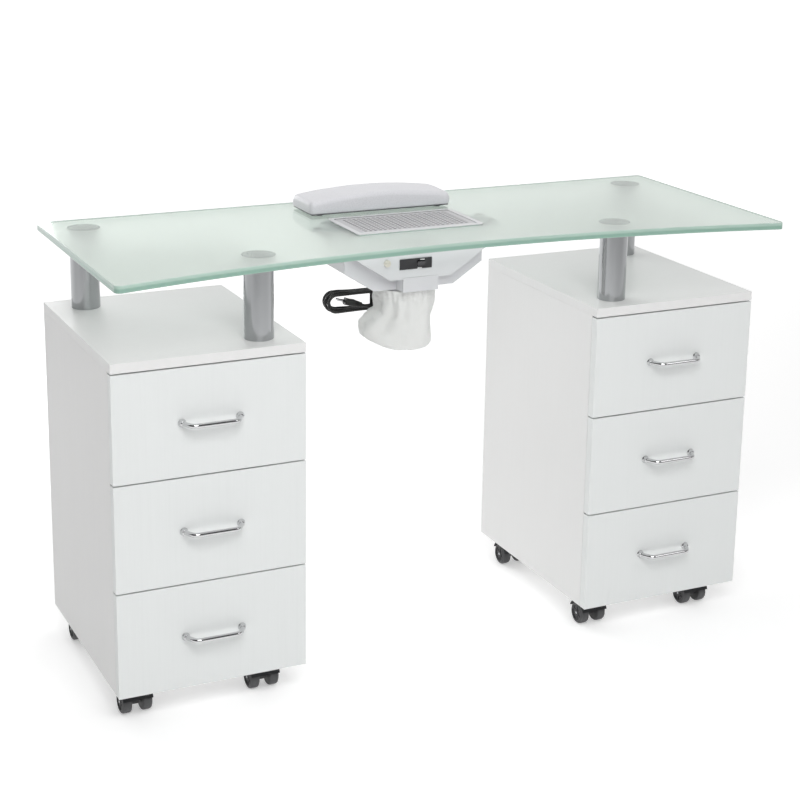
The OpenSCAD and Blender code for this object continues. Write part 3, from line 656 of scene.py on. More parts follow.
def make_plug():
    """Slim two-pin plug with a ribbed tail; its own Z runs from tail to pins."""
    bm = bmesh.new()
    turn = place(PLUG_WAY, PLUG_TAIL)
    tail = [(0.0, 0.0), (0.0038, 0.0)]
    for k in range(4):
        z = 0.0008 + k * 0.0026
        tail += [(0.0044 + k * 0.0004, z), (0.0044 + k * 0.0004, z + 0.0014)]
        tail += [(0.0038 + k * 0.0004, z + 0.0018), (0.0038 + k * 0.0004, z + 0.0024)]
    tail += [(0.0058, 0.0118), (0.0, 0.0122)]
    lathe(bm, tail, turn, 32)
    # body: rounded square sections that swell and taper
    sections = [(0.0105, 0.0048), (0.013, 0.0060), (0.018, 0.0065), (0.025, 0.0058),
                (0.030, 0.0060), (0.0335, 0.0064), (0.034, 0.0060)]
    rings = []
    for z, wide in sections:
        ring = []
        for k in range(32):
            a = 2 * math.pi * (k + 0.5) / 32
            c, s = math.cos(a), math.sin(a)
            r = wide / (abs(c) ** 5 + abs(s) ** 5) ** 0.2
            ring.append(bm.verts.new(turn @ Vector((r * c, r * s, z))))
        rings.append(ring)
    skin(bm, rings)
    # two pins, sleeved near the body
    for side in (-1, 1):
        base = turn.translation + Y * side * 0.0042 + PLUG_WAY * 0.033
        lathe(bm, [(0, 0), (0.0019, 0), (0.0019, 0.007), (0.0, 0.007)], place(PLUG_WAY, base), 20)
        pin = [(0, 0), (0.0017, 0), (0.0017, 0.0155), (0.0013, 0.0166), (0.0, 0.0170)]
        lathe(bm, pin, place(PLUG_WAY, base), 20, 1)
    return finish_mesh("mains_plug", bm, [PLUG_RUBBER, CHROME], ["power_plug"])


def make_tie():
    """Hook-and-loop strap round the hank, with its tail up to a stud on the housing."""
    low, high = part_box("cord_tie")
    width = high.x - low.x
    cx = (low.x + high.x) / 2
    t = 0.0015
    half_y = (HANK_PITCH * HANK_TURNS + CORD_D) / 2 + 0.0002
    half_z = HANK_FOLD + CORD_D / 2 + 0.0002
    bm = bmesh.new()
    corner = 0.0025
    steps = 6
    inner = []
    for sy, sz, first in ((1, 1, 0), (-1, 1, 90), (-1, -1, 180), (1, -1, 270)):
        for k in range(steps + 1):
            a = math.radians(first + 90 * k / steps)
            inner.append((
                sy * (half_y - corner) + corner * math.cos(a),
                sz * (half_z - corner) + corner * math.sin(a),
                math.cos(a), math.sin(a),
            ))
    loops = []
    for side in (-1, 1):
        x = cx + side * width / 2
        for grow in (0.0, t):
            loops.append([
                bm.verts.new((x, HANK.y + y + ny * grow, HANK.z + z + nz * grow))
                for y, z, ny, nz in inner
            ])
    skin(bm, [loops[k] for k in (0, 1, 3, 2, 0)], capped=False)
    # tail, a little wavy, and the stud through its end
    front = HANK.y - half_y - t
    rows = 14
    z0, z1 = HANK.z + half_z - 0.002, high.z
    strip = []
    for k in range(rows + 1):
        f = k / rows
        z = z0 + (z1 - z0) * f
        y = front + 0.0002 + 0.0007 * math.sin(f * math.pi * 2.2) * math.sin(f * math.pi)
        strip.append([
            bm.verts.new((cx + s * width / 2, y + d, z)) for s, d in ((-1, 0), (1, 0), (1, t), (-1, t))
        ])
    skin(bm, strip)
    tie = finish_mesh("cord_tie_strap", bm, [TIE_WEBBING], ["cord_tie"])
    round_edges(tie, 0.0003, 2)
    bm = bmesh.new()
    stud = [(0, 0), (0.0033, 0), (0.0033, 0.0012), (0.0020, 0.0016),
            (0.0020, 0.0042), (0.0034, 0.0046), (0.0034, 0.0056), (0.0028, 0.0062), (0, 0.0064)]
    stud_z = 0.658
    spot = Vector((cx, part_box("extractor_housing")[1].y, stud_z))
    lathe(bm, stud, place(Y, spot), 28)
    finish_mesh("tie_stud", bm, [BLACK_PLASTIC], [], body="table")
    return tie


def make_cord():
    route = smooth_route(cord_route())
    curve = bpy.data.curves.new("mains_lead", "CURVE")
    curve.dimensions = "3D"
    spline = curve.splines.new("POLY")
    spline.points.add(len(route) - 1)
    for point, co in zip(spline.points, route):
        point.co = (*co, 1)
        point.radius = 1.0
    curve.bevel_depth = CORD_D / 2
    curve.bevel_resolution = 4
    curve.use_fill_caps = True
    curve.materials.append(SHEATH)
    lead = put("mains_lead", curve)
    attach(lead, "table")
    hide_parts("power_cord", "cord_hank")
    plug = make_plug()
    tie = make_tie()


make_cord()


def make_gland():
    """Ribbed strain relief that tapers along the lead."""
    low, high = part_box("cord_gland")
    start = Vector((CORD_EXIT.x, low.y, CORD_EXIT.z))
    long = high.y - low.y
    profile = [(0.0026, 0.0), (0.0083, 0.0), (0.0085, 0.0004), (0.0085, 0.0014), (0.0081, 0.0019)]
    ribs, first = 7, 0.003
    step = (long - first - 0.002) / ribs
    for k in range(ribs):
        z, r = first + step * k, 0.0059 - 0.0022 * k / ribs
        root = r - 0.0011
        profile += [(r, z), (r, z + step * 0.5), (root, z + step * 0.62), (root, z + step * 0.9)]
    profile += [(0.0036, long - 0.002), (0.0035, long - 0.0004), (0.0031, long), (0.0026, long)]
    bm = bmesh.new()
    lathe(bm, profile, place(Y, start), 40)
    # hexagon of the lock nut
    prism(bm, polygon(0.0078), 0.0012, 0.0034, place(Y, start))
    finish_mesh("strain_relief", bm, [BLACK_PLASTIC], ["cord_gland"])


make_gland()

# ---------------------------------------------------------------- glass top and posts


def make_glass():
    """The pane, with polished arrises; each face has its own finish."""
    bm = cad_mesh("glass_top")
    for face in bm.faces:
        face.material_index = 2 if abs(face.normal.z) < 0.9 else int(face.normal.z < 0)
    edges = [e for e in bm.edges if len({f.material_index for f in e.link_faces}) == 2]
    bevelled = bmesh.ops.bevel(
        bm, geom=edges, offset=0.0009, segments=2, profile=0.6, affect="EDGES", clamp_overlap=True
    )
    for face in bevelled["faces"]:
        face.material_index = 2
    pane = finish_mesh("glass_pane", bm, [GLASS_TOP, GLASS_UNDER, GLASS_EDGE], ["glass_top"])
    for face in pane.data.polygons:
        face.use_smooth = abs(face.normal.z) < 0.99


def post_spots():
    """Middles of the four posts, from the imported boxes."""
    low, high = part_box("post_discs")
    inner = 0.330
    outer = (high.x - low.x) / 2 - DISC_R
    front, back = low.y + DISC_R, high.y - DISC_R
    return [(side * x, y) for side in (-1, 1) for x, y in ((inner, front), (outer, back))]


DISC_R = 0.028
POST_R = 0.0245


def make_posts():
    low_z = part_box("support_posts")[0].z
    tall = 2 * half("support_posts").z
    chamfer = 0.0006
    profile = [
        (0.0, 0.0), (POST_R - chamfer, 0.0), (POST_R, chamfer), (POST_R, tall - chamfer),
        (POST_R - chamfer, tall), (0.0, tall),
    ]
    bm = bmesh.new()
    for x, y in post_spots():
        lathe(bm, profile, Matrix.Translation((x, y, low_z)), 96)
    finish_mesh("post_tubes", bm, [ALUMINIUM], ["support_posts"])


def make_discs():
    """Turned discs bonded to the glass: the adhesive clears the etching over them."""
    low_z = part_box("post_discs")[0].z
    tall = 2 * half("post_discs").z + 0.0002
    rings = [(DISC_R * k / 12, tall) for k in range(12)]
    profile = [
        (0.0, 0.0), (DISC_R - 0.0008, 0.0), (DISC_R, 0.0008), (DISC_R, tall - 0.0006),
        (DISC_R - 0.0006, tall),
    ] + rings[::-1]
    bm = bmesh.new()
    for x, y in post_spots():
        lathe(bm, profile, Matrix.Translation((x, y, low_z)), 96)
    finish_mesh("glass_discs", bm, [DISC_METAL], ["post_discs"])


make_glass()
make_posts()
make_discs()

# ---------------------------------------------------------------- cabinets and drawers


def edge_banded(node, thick=0.0185):
    """A CAD node's mesh, its boards' narrow faces in the edge band's finish."""
    bm = cad_mesh(node)
    for face in bm.faces:
        corners = list(zip(*(v.co for v in face.verts)))
        spans = sorted(max(a) - min(a) for a in corners)
        face.material_index = 1 if spans[1] < thick else 0
    return bm


def make_cabinet(side):
    node = f"{side}_cabinet"
    dressed(node, f"{node}_boards", [BOARD, BOARD_EDGE], 0.0006, mesh=edge_banded(node))


def make_drawer(side, row):
    name = f"{side}_{row}"
    front = f"{name}_front"
    dressed(front, f"{front}_board", [FRONT_BOARD, FRONT_EDGE], 0.0007, mesh=edge_banded(front))
    # box boards, and the moving rails beyond them
    low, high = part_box(f"{name}_box")
    rail_w = 0.0094
    bm = cad_mesh(f"{name}_box")
    for face in bm.faces:
        x = face.calc_center_median().x
        outside = x < low.x + rail_w + 0.0004 or x > high.x - rail_w - 0.0004
        upright = all(low.x + rail_w < v.co.x < high.x - rail_w for v in face.verts)
        face.material_index = 1 if outside and not upright else 0
    dressed(f"{name}_box", f"{name}_box_boards", [BOARD, ZINC], 0.0004, mesh=bm)
    make_handle(name)
    make_handle_screws(name)


def make_handle(name):
    """Chromed bow: straight bar, bends, leaning legs and flared feet."""
    node = f"{name}_handle"
    low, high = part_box(node)
    centre = Vector(((low.x + high.x) / 2, high.y, (low.z + high.z) / 2))
    foot_r = 0.007
    half_pitch = half(node).x - foot_r
    rod = 0.004
    out = high.y - low.y - rod
    bend = 0.012
    lean = math.radians(60)
    bar_half = half_pitch - 0.018
    arm = []
    for k in range(9):
        a = lean * k / 8
        arm.append((bar_half + bend * math.sin(a), -out + bend * (1 - math.cos(a))))
    leg_x, leg_y = arm[-1]
    foot = (half_pitch + 0.0006, -0.0035)
    for k in range(1, 5):
        f = k / 4
        arm.append((leg_x + (foot[0] - leg_x) * f, leg_y + (foot[1] - leg_y) * f))
    line = [(-x, y) for x, y in arm[::-1]]
    line += [(bar_half * t, -out) for t in (-0.6, -0.2, 0.2, 0.6)] + arm
    points = [centre + Vector((x, y, 0)) for x, y in line]
    bm = bmesh.new()
    sweep(bm, points, rod, 28)
    collar = [
        (0.0, 0.0), (foot_r - 0.0003, 0.0), (foot_r, 0.0004), (foot_r - 0.0002, 0.0011),
        (foot_r - 0.0009, 0.0019), (0.0056, 0.0031), (0.0050, 0.0046), (0.0047, 0.0060),
        (0.0045, 0.0068), (0.0040, 0.0072), (0.0, 0.0072),
    ]
    for s in (-1, 1):
        lathe(bm, collar, place(-Y, centre + X * s * half_pitch), 40)
    finish_mesh(f"{name}_handle_bow", bm, [CHROME], [node], sharp=50)


def make_handle_screws(name):
    """Pan heads of the handle's screws, on the inner face of the drawer box."""
    centre = mid(f"{name}_handle")
    board = 0.012
    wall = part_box(f"{name}_box")[0].y + board
    pitch = half(f"{name}_handle").x - 0.007
    bm = bmesh.new()
    for s in (-1, 1):
        spot = Vector((centre.x + s * pitch, wall, centre.z))
        head = [(0, 0), (0.0045, 0), (0.0044, 0.0008), (0.0036, 0.0018), (0.0020, 0.0023), (0, 0.0024)]
        lathe(bm, head, place(Y, spot), 28)
        for turn in (0, math.pi / 2):
            slot = place(Y, spot) @ Matrix.Rotation(turn + math.pi / 4, 4, "Z")
            block(bm, (-0.0022, -0.0004, 0.0021), (0.0022, 0.0004, 0.00255), slot, 1)
    finish_mesh(
        f"{name}_handle_screws", bm, [ZINC, STEEL_DARK], [], body=f"{name}_drawer"
    )


for cabinet_side in SIDES:
    make_cabinet(cabinet_side)
    for drawer_row in ROWS:
        make_drawer(cabinet_side, drawer_row)


dressed("runner_rails", "runner_channels", [ZINC], 0.0003)

# ---------------------------------------------------------------- casters


def make_wheels(name):
    """Twin wheels: rounded treads, dished hubs with spokes."""
    node = f"{name}_wheels"
    centre = mid(node)
    radius = half(node).z
    wide = 0.017
    offset = half(node).x - wide / 2
    bore = 0.0031
    tread = [
        (radius - 0.0026, -0.0080), (radius - 0.0012, -0.0073), (radius - 0.0003, -0.0058),
        (radius, -0.0040), (radius, 0.0040), (radius - 0.0003, 0.0058),
        (radius - 0.0012, 0.0073), (radius - 0.0026, 0.0080),
    ]
    inner = [(bore, -0.0084), (0.0060, -0.0084), (0.0066, -0.0076), (radius - 0.0030, -0.0076),
             (radius - 0.0026, -0.0080)]
    outer = [
        (radius - 0.0026, 0.0080), (radius - 0.0034, 0.0085), (radius - 0.0052, 0.0085),
        (radius - 0.0058, 0.0080), (radius - 0.0062, 0.0064), (0.0072, 0.0060),
        (0.0064, 0.0064), (0.0058, 0.0080), (0.0052, 0.0085), (0.0040, 0.0085),
        (0.0036, 0.0080), (bore, 0.0078),
    ]
    bm = bmesh.new()
    for side in (-1, 1):
        turn = place(X * side, centre + X * side * offset)
        lathe(bm, inner, turn, 48, 0)
        lathe(bm, tread, turn, 48, 1)
        lathe(bm, outer, turn, 48, 0)
        lathe(bm, [(bore, 0.0078), (bore, -0.0084)], turn, 48, 0)
        for k in range(6):
            spoke = turn @ Matrix.Rotation(math.pi * k / 3, 4, "Z")
            block(bm, (0.0060, -0.0009, 0.0055), (radius - 0.0058, 0.0009, 0.0074), spoke, 0)
    finish_mesh(f"{node}_turned", bm, [WHEEL_PLASTIC, TREAD], [node], sharp=32)


def make_fork(name):
    node = f"{name}_fork"
    dressed(node, f"{node}_moulding", [CASTER_PLASTIC], 0.0005)
    # bright ends of the axle
    wheels = f"{name}_wheels"
    reach = half(wheels).x - 0.0010
    cap = [(0, 0), (0.0029, 0), (0.0028, 0.0007), (0.0020, 0.0012), (0, 0.0014)]
    bm = bmesh.new()
    for side in (-1, 1):
        lathe(bm, cap, place(X * side, mid(wheels) + X * side * reach), 24)
    finish_mesh(f"{name}_axle_caps", bm, [ZINC], [], body=f"{name}_caster")


def make_plates():
    dressed("caster_plates", "caster_top_plates", [ZINC], 0.0004)
    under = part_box("caster_plates")[1].z - 0.003
    inset, trail = 0.0145, 0.011
    head = [(0, 0), (0.0034, 0), (0.0032, 0.0008), (0.0022, 0.0015), (0, 0.0017)]
    bm = bmesh.new()
    for name in CORNERS:
        axle = mid(f"{name}_wheels")
        pin_y = axle.y - trail if "front" in name else axle.y + trail
        for sx in (-inset, inset):
            for sy in (-inset, inset):
                spot = place(-Z, (axle.x + sx, pin_y + sy, under))
                lathe(bm, head, spot, 20)
                block(bm, (-0.0018, -0.0003, 0.0014), (0.0018, 0.0003, 0.0018), spot, 1)
    finish_mesh("caster_screws", bm, [ZINC, STEEL_DARK], [], body="table")


for caster in CORNERS:
    make_wheels(caster)
    make_fork(caster)
make_plates()

# ---------------------------------------------------------------- dust extractor

GRILLE_COLUMNS = 22
GRILLE_ROWS = 11
GRILLE_PITCH = 0.009
SLOT_HALF = (0.0033, 0.0025)


def make_grille():
    """Moulded grille: rows of short slots with softened lips, in a raised rim; the slot walls are near
    black, a painted shade inside the slots.
    """
    low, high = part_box("grille")
    centre = mid("grille")
    half_x, half_y = high.x - centre.x, high.y - centre.y
    lip = 0.00045
    bm = bmesh.new()

    def lines(count, half_slot, half_outer):
        at = [-half_outer, -half_outer + 0.003]
        for k in range(count):
            c = (k - (count - 1) / 2) * GRILLE_PITCH
            at += [c - half_slot, c + half_slot]
        return at + [half_outer - 0.003, half_outer]

    xs = lines(GRILLE_COLUMNS, SLOT_HALF[0], half_x)
    ys = lines(GRILLE_ROWS, SLOT_HALF[1], half_y)
    top_z, low_z = high.z - 0.0006, low.z
    cut = 0.0012

    def spot(x, y, z):
        # trims the four outer corners
        if half_x - abs(x) < 1e-6 and half_y - abs(y) < 1e-6:
            x -= math.copysign(cut, x)
            y -= math.copysign(cut, y)
        return bm.verts.new((centre.x + x, centre.y + y, z))

    top = [[spot(x, y, top_z) for y in ys] for x in xs]
    under = [[spot(x, y, low_z) for y in ys] for x in xs]
    nx, ny = len(xs) - 1, len(ys) - 1
    for i in range(nx):
        for j in range(ny):
            if i % 2 or j % 2 or not (1 < i < nx - 2 and 1 < j < ny - 2):
                bm.faces.new([top[i][j], top[i + 1][j], top[i + 1][j + 1], top[i][j + 1]])
                bm.faces.new([under[i][j], under[i][j + 1], under[i + 1][j + 1], under[i + 1][j]])
                continue
            corners = [(i, j), (i + 1, j), (i + 1, j + 1), (i, j + 1)]
            mx, my = (xs[i] + xs[i + 1]) / 2, (ys[j] + ys[j + 1]) / 2
            inset = []
            for a, b in corners:
                x = xs[a] - math.copysign(lip, xs[a] - mx)
                y = ys[b] - math.copysign(lip, ys[b] - my)
                inset.append(bm.verts.new((centre.x + x, centre.y + y, top_z - lip)))
            floor = [bm.verts.new((v.co.x, v.co.y, low_z)) for v in inset]
            for k, (a, b) in enumerate(corners):
                n = (k + 1) % 4
                c, d = corners[n]
                bm.faces.new([top[a][b], inset[k], inset[n], top[c][d]])
                # slot walls in the second finish: painted shade
                bm.faces.new([inset[k], floor[k], floor[n], inset[n]]).material_index = 1
                bm.faces.new([floor[k], under[a][b], under[c][d], floor[n]])
    rim = [(i, 0) for i in range(nx)] + [(nx, j) for j in range(ny)]
    rim += [(nx - i, ny - j) for i, j in rim]
    skin(bm, [[grid[i][j] for i, j in rim] for grid in (top, under)], capped=False)
    finish_mesh("grille_insert", bm, [GRILLE_PLASTIC, SLOT_PAINTED_SHADE], ["grille"], sharp=40)


def painted_shade_inside(node):
    """A CAD node's mesh, faces that look across a hollow at another wall in the second finish, a near black
    painted shade.
    """
    bm = cad_mesh(node)
    tree = BVHTree.FromBMesh(bm)
    for face in bm.faces:
        start = face.calc_center_median() + face.normal * 0.0004
        hit = tree.ray_cast(start, face.normal, 0.4)[0]
        # faces that face another wall get the painted shade
        face.material_index = 1 if hit else 0
    return bm


def make_housing():
    for node, name, finish, width in (
        ("grille_frame", "grille_surround", FRAME_PLASTIC, 0.0006),
        ("extractor_housing", "extractor_body", WHITE_PLASTIC, 0.0012),
    ):
        dressed(node, name, [finish, INNER_PAINTED_SHADE], width, 3, painted_shade_inside(node))
    dressed("control_panel", "extractor_panel", [PANEL_PLASTIC], 0.0010, 3)
    dressed("clamp_brackets", "clamp_angles", [ZINC], 0.0007, 3)


def make_switch():
    dressed("switch_plate", "switch_surround", [BLACK_PLASTIC], 0.0004)
    dressed("rocker_switch", "rocker_button", [ROCKER_PLASTIC], 0.0005, 3)
    dressed("fuse_cap", "fuse_cap_moulding", [BEIGE_PLASTIC], 0.0004, 3)
    # two plain printed bars, above and below the rocker
    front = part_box("switch_plate")[0].y
    rocker = mid("rocker_switch")
    bm = bmesh.new()
    for side, shift in ((1, 0.0025), (-1, -0.0025)):
        x, z = rocker.x + shift, rocker.z + side * 0.0073
        block(bm, (x - 0.0042, front - 0.0001, z - 0.0008), (x + 0.0042, front + 0.0003, z + 0.0008))
    finish_mesh("switch_marks", bm, [MARK_WHITE], [], body="table")


def make_outlet():
    centre = mid("outlet_duct")
    outer, _, half_z = half("outlet_duct")
    wall = outer - 0.0015
    bore = wall - 0.003
    tall = 2 * half_z
    profile = [
        (bore, 0.0), (outer - 0.0008, 0.0), (outer, 0.0008), (outer, 0.0022), (outer - 0.0006, 0.0030),
        (wall, 0.0034), (wall, tall), (bore, tall), (bore, 0.0),
    ]
    bm = bmesh.new()
    lathe(bm, profile, Matrix.Translation(centre - Z * half_z), 96)
    finish_mesh("outlet_collar", bm, [WHITE_PLASTIC], ["outlet_duct"])


def make_motor():
    dressed("fan_motor", "fan_motor_can", [STEEL_DARK], 0.0006)
    dressed("fan_impeller", "fan_impeller_moulding", [FAN_PLASTIC], 0.0004)
    # end-cap screws and vent ribs on the can
    centre = mid("fan_motor")
    bm = bmesh.new()
    can_r, screws_r = 0.022, 0.016
    cap_z, vents_z = 0.664, 0.670
    for k in range(4):
        a = math.pi * (k + 0.5) / 2
        spot = Vector((centre.x + screws_r * math.cos(a), centre.y + screws_r * math.sin(a), cap_z))
        lathe(bm, [(0, 0), (0.0024, 0), (0.0022, 0.0010), (0, 0.0014)], place(-Z, spot), 20)
    for k in range(16):
        turn = Matrix.Translation((centre.x, centre.y, vents_z)) @ Matrix.Rotation(math.pi * k / 8, 4, "Z")
        block(bm, (can_r - 0.0004, -0.0012, 0.0), (can_r + 0.0005, 0.0012, 0.012), turn)
    finish_mesh("fan_motor_fittings", bm, [ZINC], [], body="table")


def thread(bm, matrix, radius, z0, z1):
    """A screw's shank with ridges at the thread's pitch."""
    pitch, root = 0.00125, radius - 0.0005
    profile = [(0.0, z0)]
    for k in range(int((z1 - z0) / pitch)):
        profile += [(root, z0 + k * pitch), (radius, z0 + (k + 0.5) * pitch)]
    profile += [(root, z1), (0.0, z1)]
    lathe(bm, profile, matrix, 24)


def make_screws():
    """Post bolts under the cabinet tops, and the extractor's four clamp screws."""
    cabinet_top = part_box("left_cabinet")[1].z
    glass_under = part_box("glass_top")[0].z
    board = 0.016
    bm = bmesh.new()
    for x, y in post_spots():
        at = Matrix.Translation((x, y, cabinet_top - board))
        washer = [(0, 0), (0.0070, 0), (0.0070, -0.0012), (0, -0.0012)]
        lathe(bm, washer, at, 36)
        prism(bm, polygon(0.0065), -0.0050, -0.0012, at)
        thread(bm, at, 0.004, -0.001, board + 0.011)
    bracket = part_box("clamp_brackets")
    reach = 0.014
    for x in (bracket[0].x + reach, bracket[1].x - reach):
        for y in ((bracket[0].y + bracket[1].y) / 2 + s * 0.021 for s in (-1, 1)):
            at = Matrix.Translation((x, y, 0))
            under = bracket[1].z - 0.003
            thread(bm, at, 0.003, under - 0.011, glass_under - 0.0028)
            pad = [(0, -0.003), (0.0066, -0.003), (0.0080, -0.0022), (0.0080, -0.0004), (0, -0.0004)]
            lathe(bm, pad, Matrix.Translation((x, y, glass_under)), 40, 1)
            # fluted finger knob below the angle, and the nut above it
            prism(bm, polygon(0.0066, 48, 0.0004), under - 0.0130, under - 0.0072, at, 1)
            prism(bm, polygon(0.0052), under + 0.0030, under + 0.0062, at)
    finish_mesh("bolts_and_clamp_screws", bm, [ZINC, BLACK_PLASTIC], ["assembly_screws"], sharp=30)


make_grille()
make_housing()
make_switch()
make_outlet()
make_motor()
make_screws()

# ---------------------------------------------------------------- dust bag

BAG_AROUND = 144
BAG_DOWN = 60
BAG_LEAN = math.radians(-25)
# How far the bag reaches right and left of the outlet's middle, from hem to foot
BAG_REACH = [
    (0.00, 0.0540, 0.0540), (0.08, 0.0525, 0.0525), (0.16, 0.0535, 0.0525),
    (0.28, 0.0525, 0.0500), (0.40, 0.0490, 0.0505), (0.53, 0.0455, 0.0680),
    (0.67, 0.0455, 0.0770), (0.82, 0.0480, 0.0785), (0.92, 0.0485, 0.0765),
    (1.00, 0.0450, 0.0690),
]
# Folds: angle at the hem, angle at the foot, half width, depth, where they start and end
BAG_FOLDS = [
    (-140, -137, 9, 0.0050, 0.06, 0.80), (-166, -186, 11, 0.0060, 0.10, 0.95),
    (-112, -118, 7, 0.0022, 0.05, 0.60), (-84, -78, 10, 0.0032, 0.12, 0.75),
    (-48, -40, 9, 0.0028, 0.08, 0.85), (10, 2, 11, 0.0040, 0.10, 0.90),
    (62, 70, 10, 0.0035, 0.10, 0.80), (105, 98, 8, 0.0030, 0.15, 0.90),
    (140, 150, 10, 0.0045, 0.10, 0.85),
]


def reach_at(down):
    """The bag's reach right and left at one height."""
    for (a, ra, la), (b, rb, lb) in zip(BAG_REACH, BAG_REACH[1:]):
        if down <= b:
            f = smoothstep(a, b, down)
            return ra + (rb - ra) * f, la + (lb - la) * f
    return BAG_REACH[-1][1:]


def bag_point(around, down, drop):
    """A point of the bag about the outlet's middle; down runs from 0 at the hem to 1 at the foot."""
    right, left = reach_at(down)
    deep = 0.054 - 0.006 * smoothstep(0.2, 1.0, down)
    v = around - BAG_LEAN
    c, s = math.cos(v), math.sin(v)
    square = 1 - 0.16 * smoothstep(0.3, 0.8, down)
    u = (right if c > 0 else left) * math.copysign(abs(c) ** square, c)
    w = deep * math.copysign(abs(s) ** square, s)
    # gathers at the elastic, then wide soft folds
    spread = math.hypot(u, w)
    gather = smoothstep(0.0, 0.05, down) * (1 - smoothstep(0.10, 0.34, down))
    push = 0.0013 * gather * math.sin(31 * around + 2 * math.sin(3 * around))
    push += 0.0006 * math.sin(64 * around) * smoothstep(0.9, 1.0, down)
    degrees = math.degrees(around)
    for top, foot, wide, depth, start, end in BAG_FOLDS:
        middle = top + (foot - top) * down
        away = (degrees - middle + 180) % 360 - 180
        strength = smoothstep(start, start + 0.2, down) * (1 - smoothstep(end - 0.2, end, down))
        push -= depth * strength * math.exp(-((away / wide) ** 2))
        push += 0.55 * depth * strength * math.exp(-(((away - 2 * wide) / wide) ** 2))
    spot = Vector((u, w, down * 0.1))
    loose = smoothstep(0.05, 0.3, down)
    push += 0.0030 * loose * noise.noise(spot * 24 + Vector((3, 1, 7)))
    push += 0.0012 * loose * noise.noise(spot * 65 + Vector((9, 4, 2)))
    # creases of the elastic, and the flat seam near the foot
    push -= 0.0010 * math.exp(-((down - 0.05 - 0.01 * math.sin(2 * around)) / 0.013) ** 2)
    push -= 0.0008 * math.exp(-((down - 0.15 - 0.02 * math.sin(around + 1)) / 0.016) ** 2)
    push += 0.0014 * math.exp(-((down - 0.955) / 0.012) ** 2)
    u += push * u / spread
    w += push * w / spread
    ca, sa = math.cos(BAG_LEAN), math.sin(BAG_LEAN)
    lift = 0.013 * smoothstep(-0.015, -0.070, u) if u < -0.015 else 0.0
    return Vector((u * ca - w * sa, u * sa + w * ca, -(drop - lift * smoothstep(0.3, 1, down)) * down))


def make_bag():
    foot_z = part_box("dust_bag")[0].z
    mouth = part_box("outlet_duct")[1]
    centre = mid("outlet_duct")
    top_z = mouth.z - 0.003
    drop = top_z - foot_z - 0.004
    bm = bmesh.new()
    uv = bm.loops.layers.uv.new("cloth")
    rows = []
    for j in range(BAG_DOWN + 1):
        row = []
        for k in range(BAG_AROUND):
            p = bag_point(2 * math.pi * k / BAG_AROUND, j / BAG_DOWN, drop)
            row.append(bm.verts.new((centre.x + p.x, centre.y + p.y, top_z + p.z)))
        rows.append(row)
    # foot: the wall turns in and closes
    foot_rows = 14
    base = [v.co.copy() for v in rows[-1]]
    middle = sum(base, Vector()) / len(base)
    for j in range(1, foot_rows):
        f = j / foot_rows
        sink = 0.006 * math.sin(min(1.0, f * 1.8) * math.pi / 2)
        row = []
        for k, point in enumerate(base):
            a = 2 * math.pi * k / BAG_AROUND
            pucker = 0.0016 * math.sin(13 * a + 4 * f) * math.sin(f * math.pi)
            p = point.lerp(middle, f ** 1.1)
            row.append(bm.verts.new((p.x, p.y, p.z - sink + pucker)))
        rows.append(row)
    girth = 2 * math.pi * (mouth.x - centre.x)
    step = (top_z - foot_z) / BAG_DOWN
    for j, (a, b) in enumerate(zip(rows, rows[1:])):
        for k in range(BAG_AROUND):
            after = (k + 1) % BAG_AROUND
            face = bm.faces.new([a[k], b[k], b[after], a[after]])
            marks = ((k, j), (k, j + 1), (k + 1, j + 1), (k + 1, j))
            for loop, (u, v) in zip(face.loops, marks):
                loop[uv].uv = (u * girth / BAG_AROUND, v * step)
    tip = bm.verts.new(middle - Z * 0.006)
    for k in range(BAG_AROUND):
        after = (k + 1) % BAG_AROUND
        face = bm.faces.new([rows[-1][k], tip, rows[-1][after]])
        for loop in face.loops:
            loop[uv].uv = (k * girth / BAG_AROUND, (BAG_DOWN + foot_rows) * step)
    bag = finish_mesh("dust_bag_cloth", bm, [BAG_CLOTH], ["dust_bag"], sharp=80)
    solid = bag.modifiers.new("thickness", "SOLIDIFY")
    solid.thickness = 0.0007
    solid.offset = -1
    smooth_out(bag)


make_bag()

# ---------------------------------------------------------------- wrist cushion


def cushion_section(half_y, low_z, high_z, roll, foot_roll):
    """Outline in Y and Z: rounded lower corners, wide rolls above and a slightly crowned top."""
    tall = high_z - low_z
    roll = min(roll, tall * 0.6, half_y * 0.9)
    foot_roll = min(foot_roll, tall * 0.3, half_y * 0.5)
    # the +Y side, from the middle of the base up to the middle of the top
    side = [((half_y - foot_roll) * k / 4, low_z) for k in range(1, 5)]
    for k in range(1, 5):
        a = math.pi / 2 * k / 4
        side.append((half_y - foot_roll * (1 - math.sin(a)), low_z + foot_roll * (1 - math.cos(a))))
    side += [(half_y, low_z + foot_roll + (tall - roll - foot_roll) * k / 4) for k in range(1, 4)]
    for k in range(9):
        a = math.pi / 2 * k / 8
        side.append((half_y - roll * (1 - math.cos(a)), high_z - roll * (1 - math.sin(a))))
    side += [((half_y - roll) * (1 - k / 6), high_z) for k in range(1, 6)]
    points = [(0, low_z)] + side + [(0, high_z)] + [(-y, z) for y, z in side[::-1]]
    out = []
    for y, z in points:
        level = (z - low_z) / tall
        swell = 0.0014 * math.sin(math.pi * min(1.0, max(0.0, level)))
        crown = 0.0018 * max(0.0, 1 - (y / half_y) ** 2) * smoothstep(0.6, 1.0, level)
        out.append((y + math.copysign(swell, y) * (abs(y) / half_y) ** 4, z + crown))
    return out


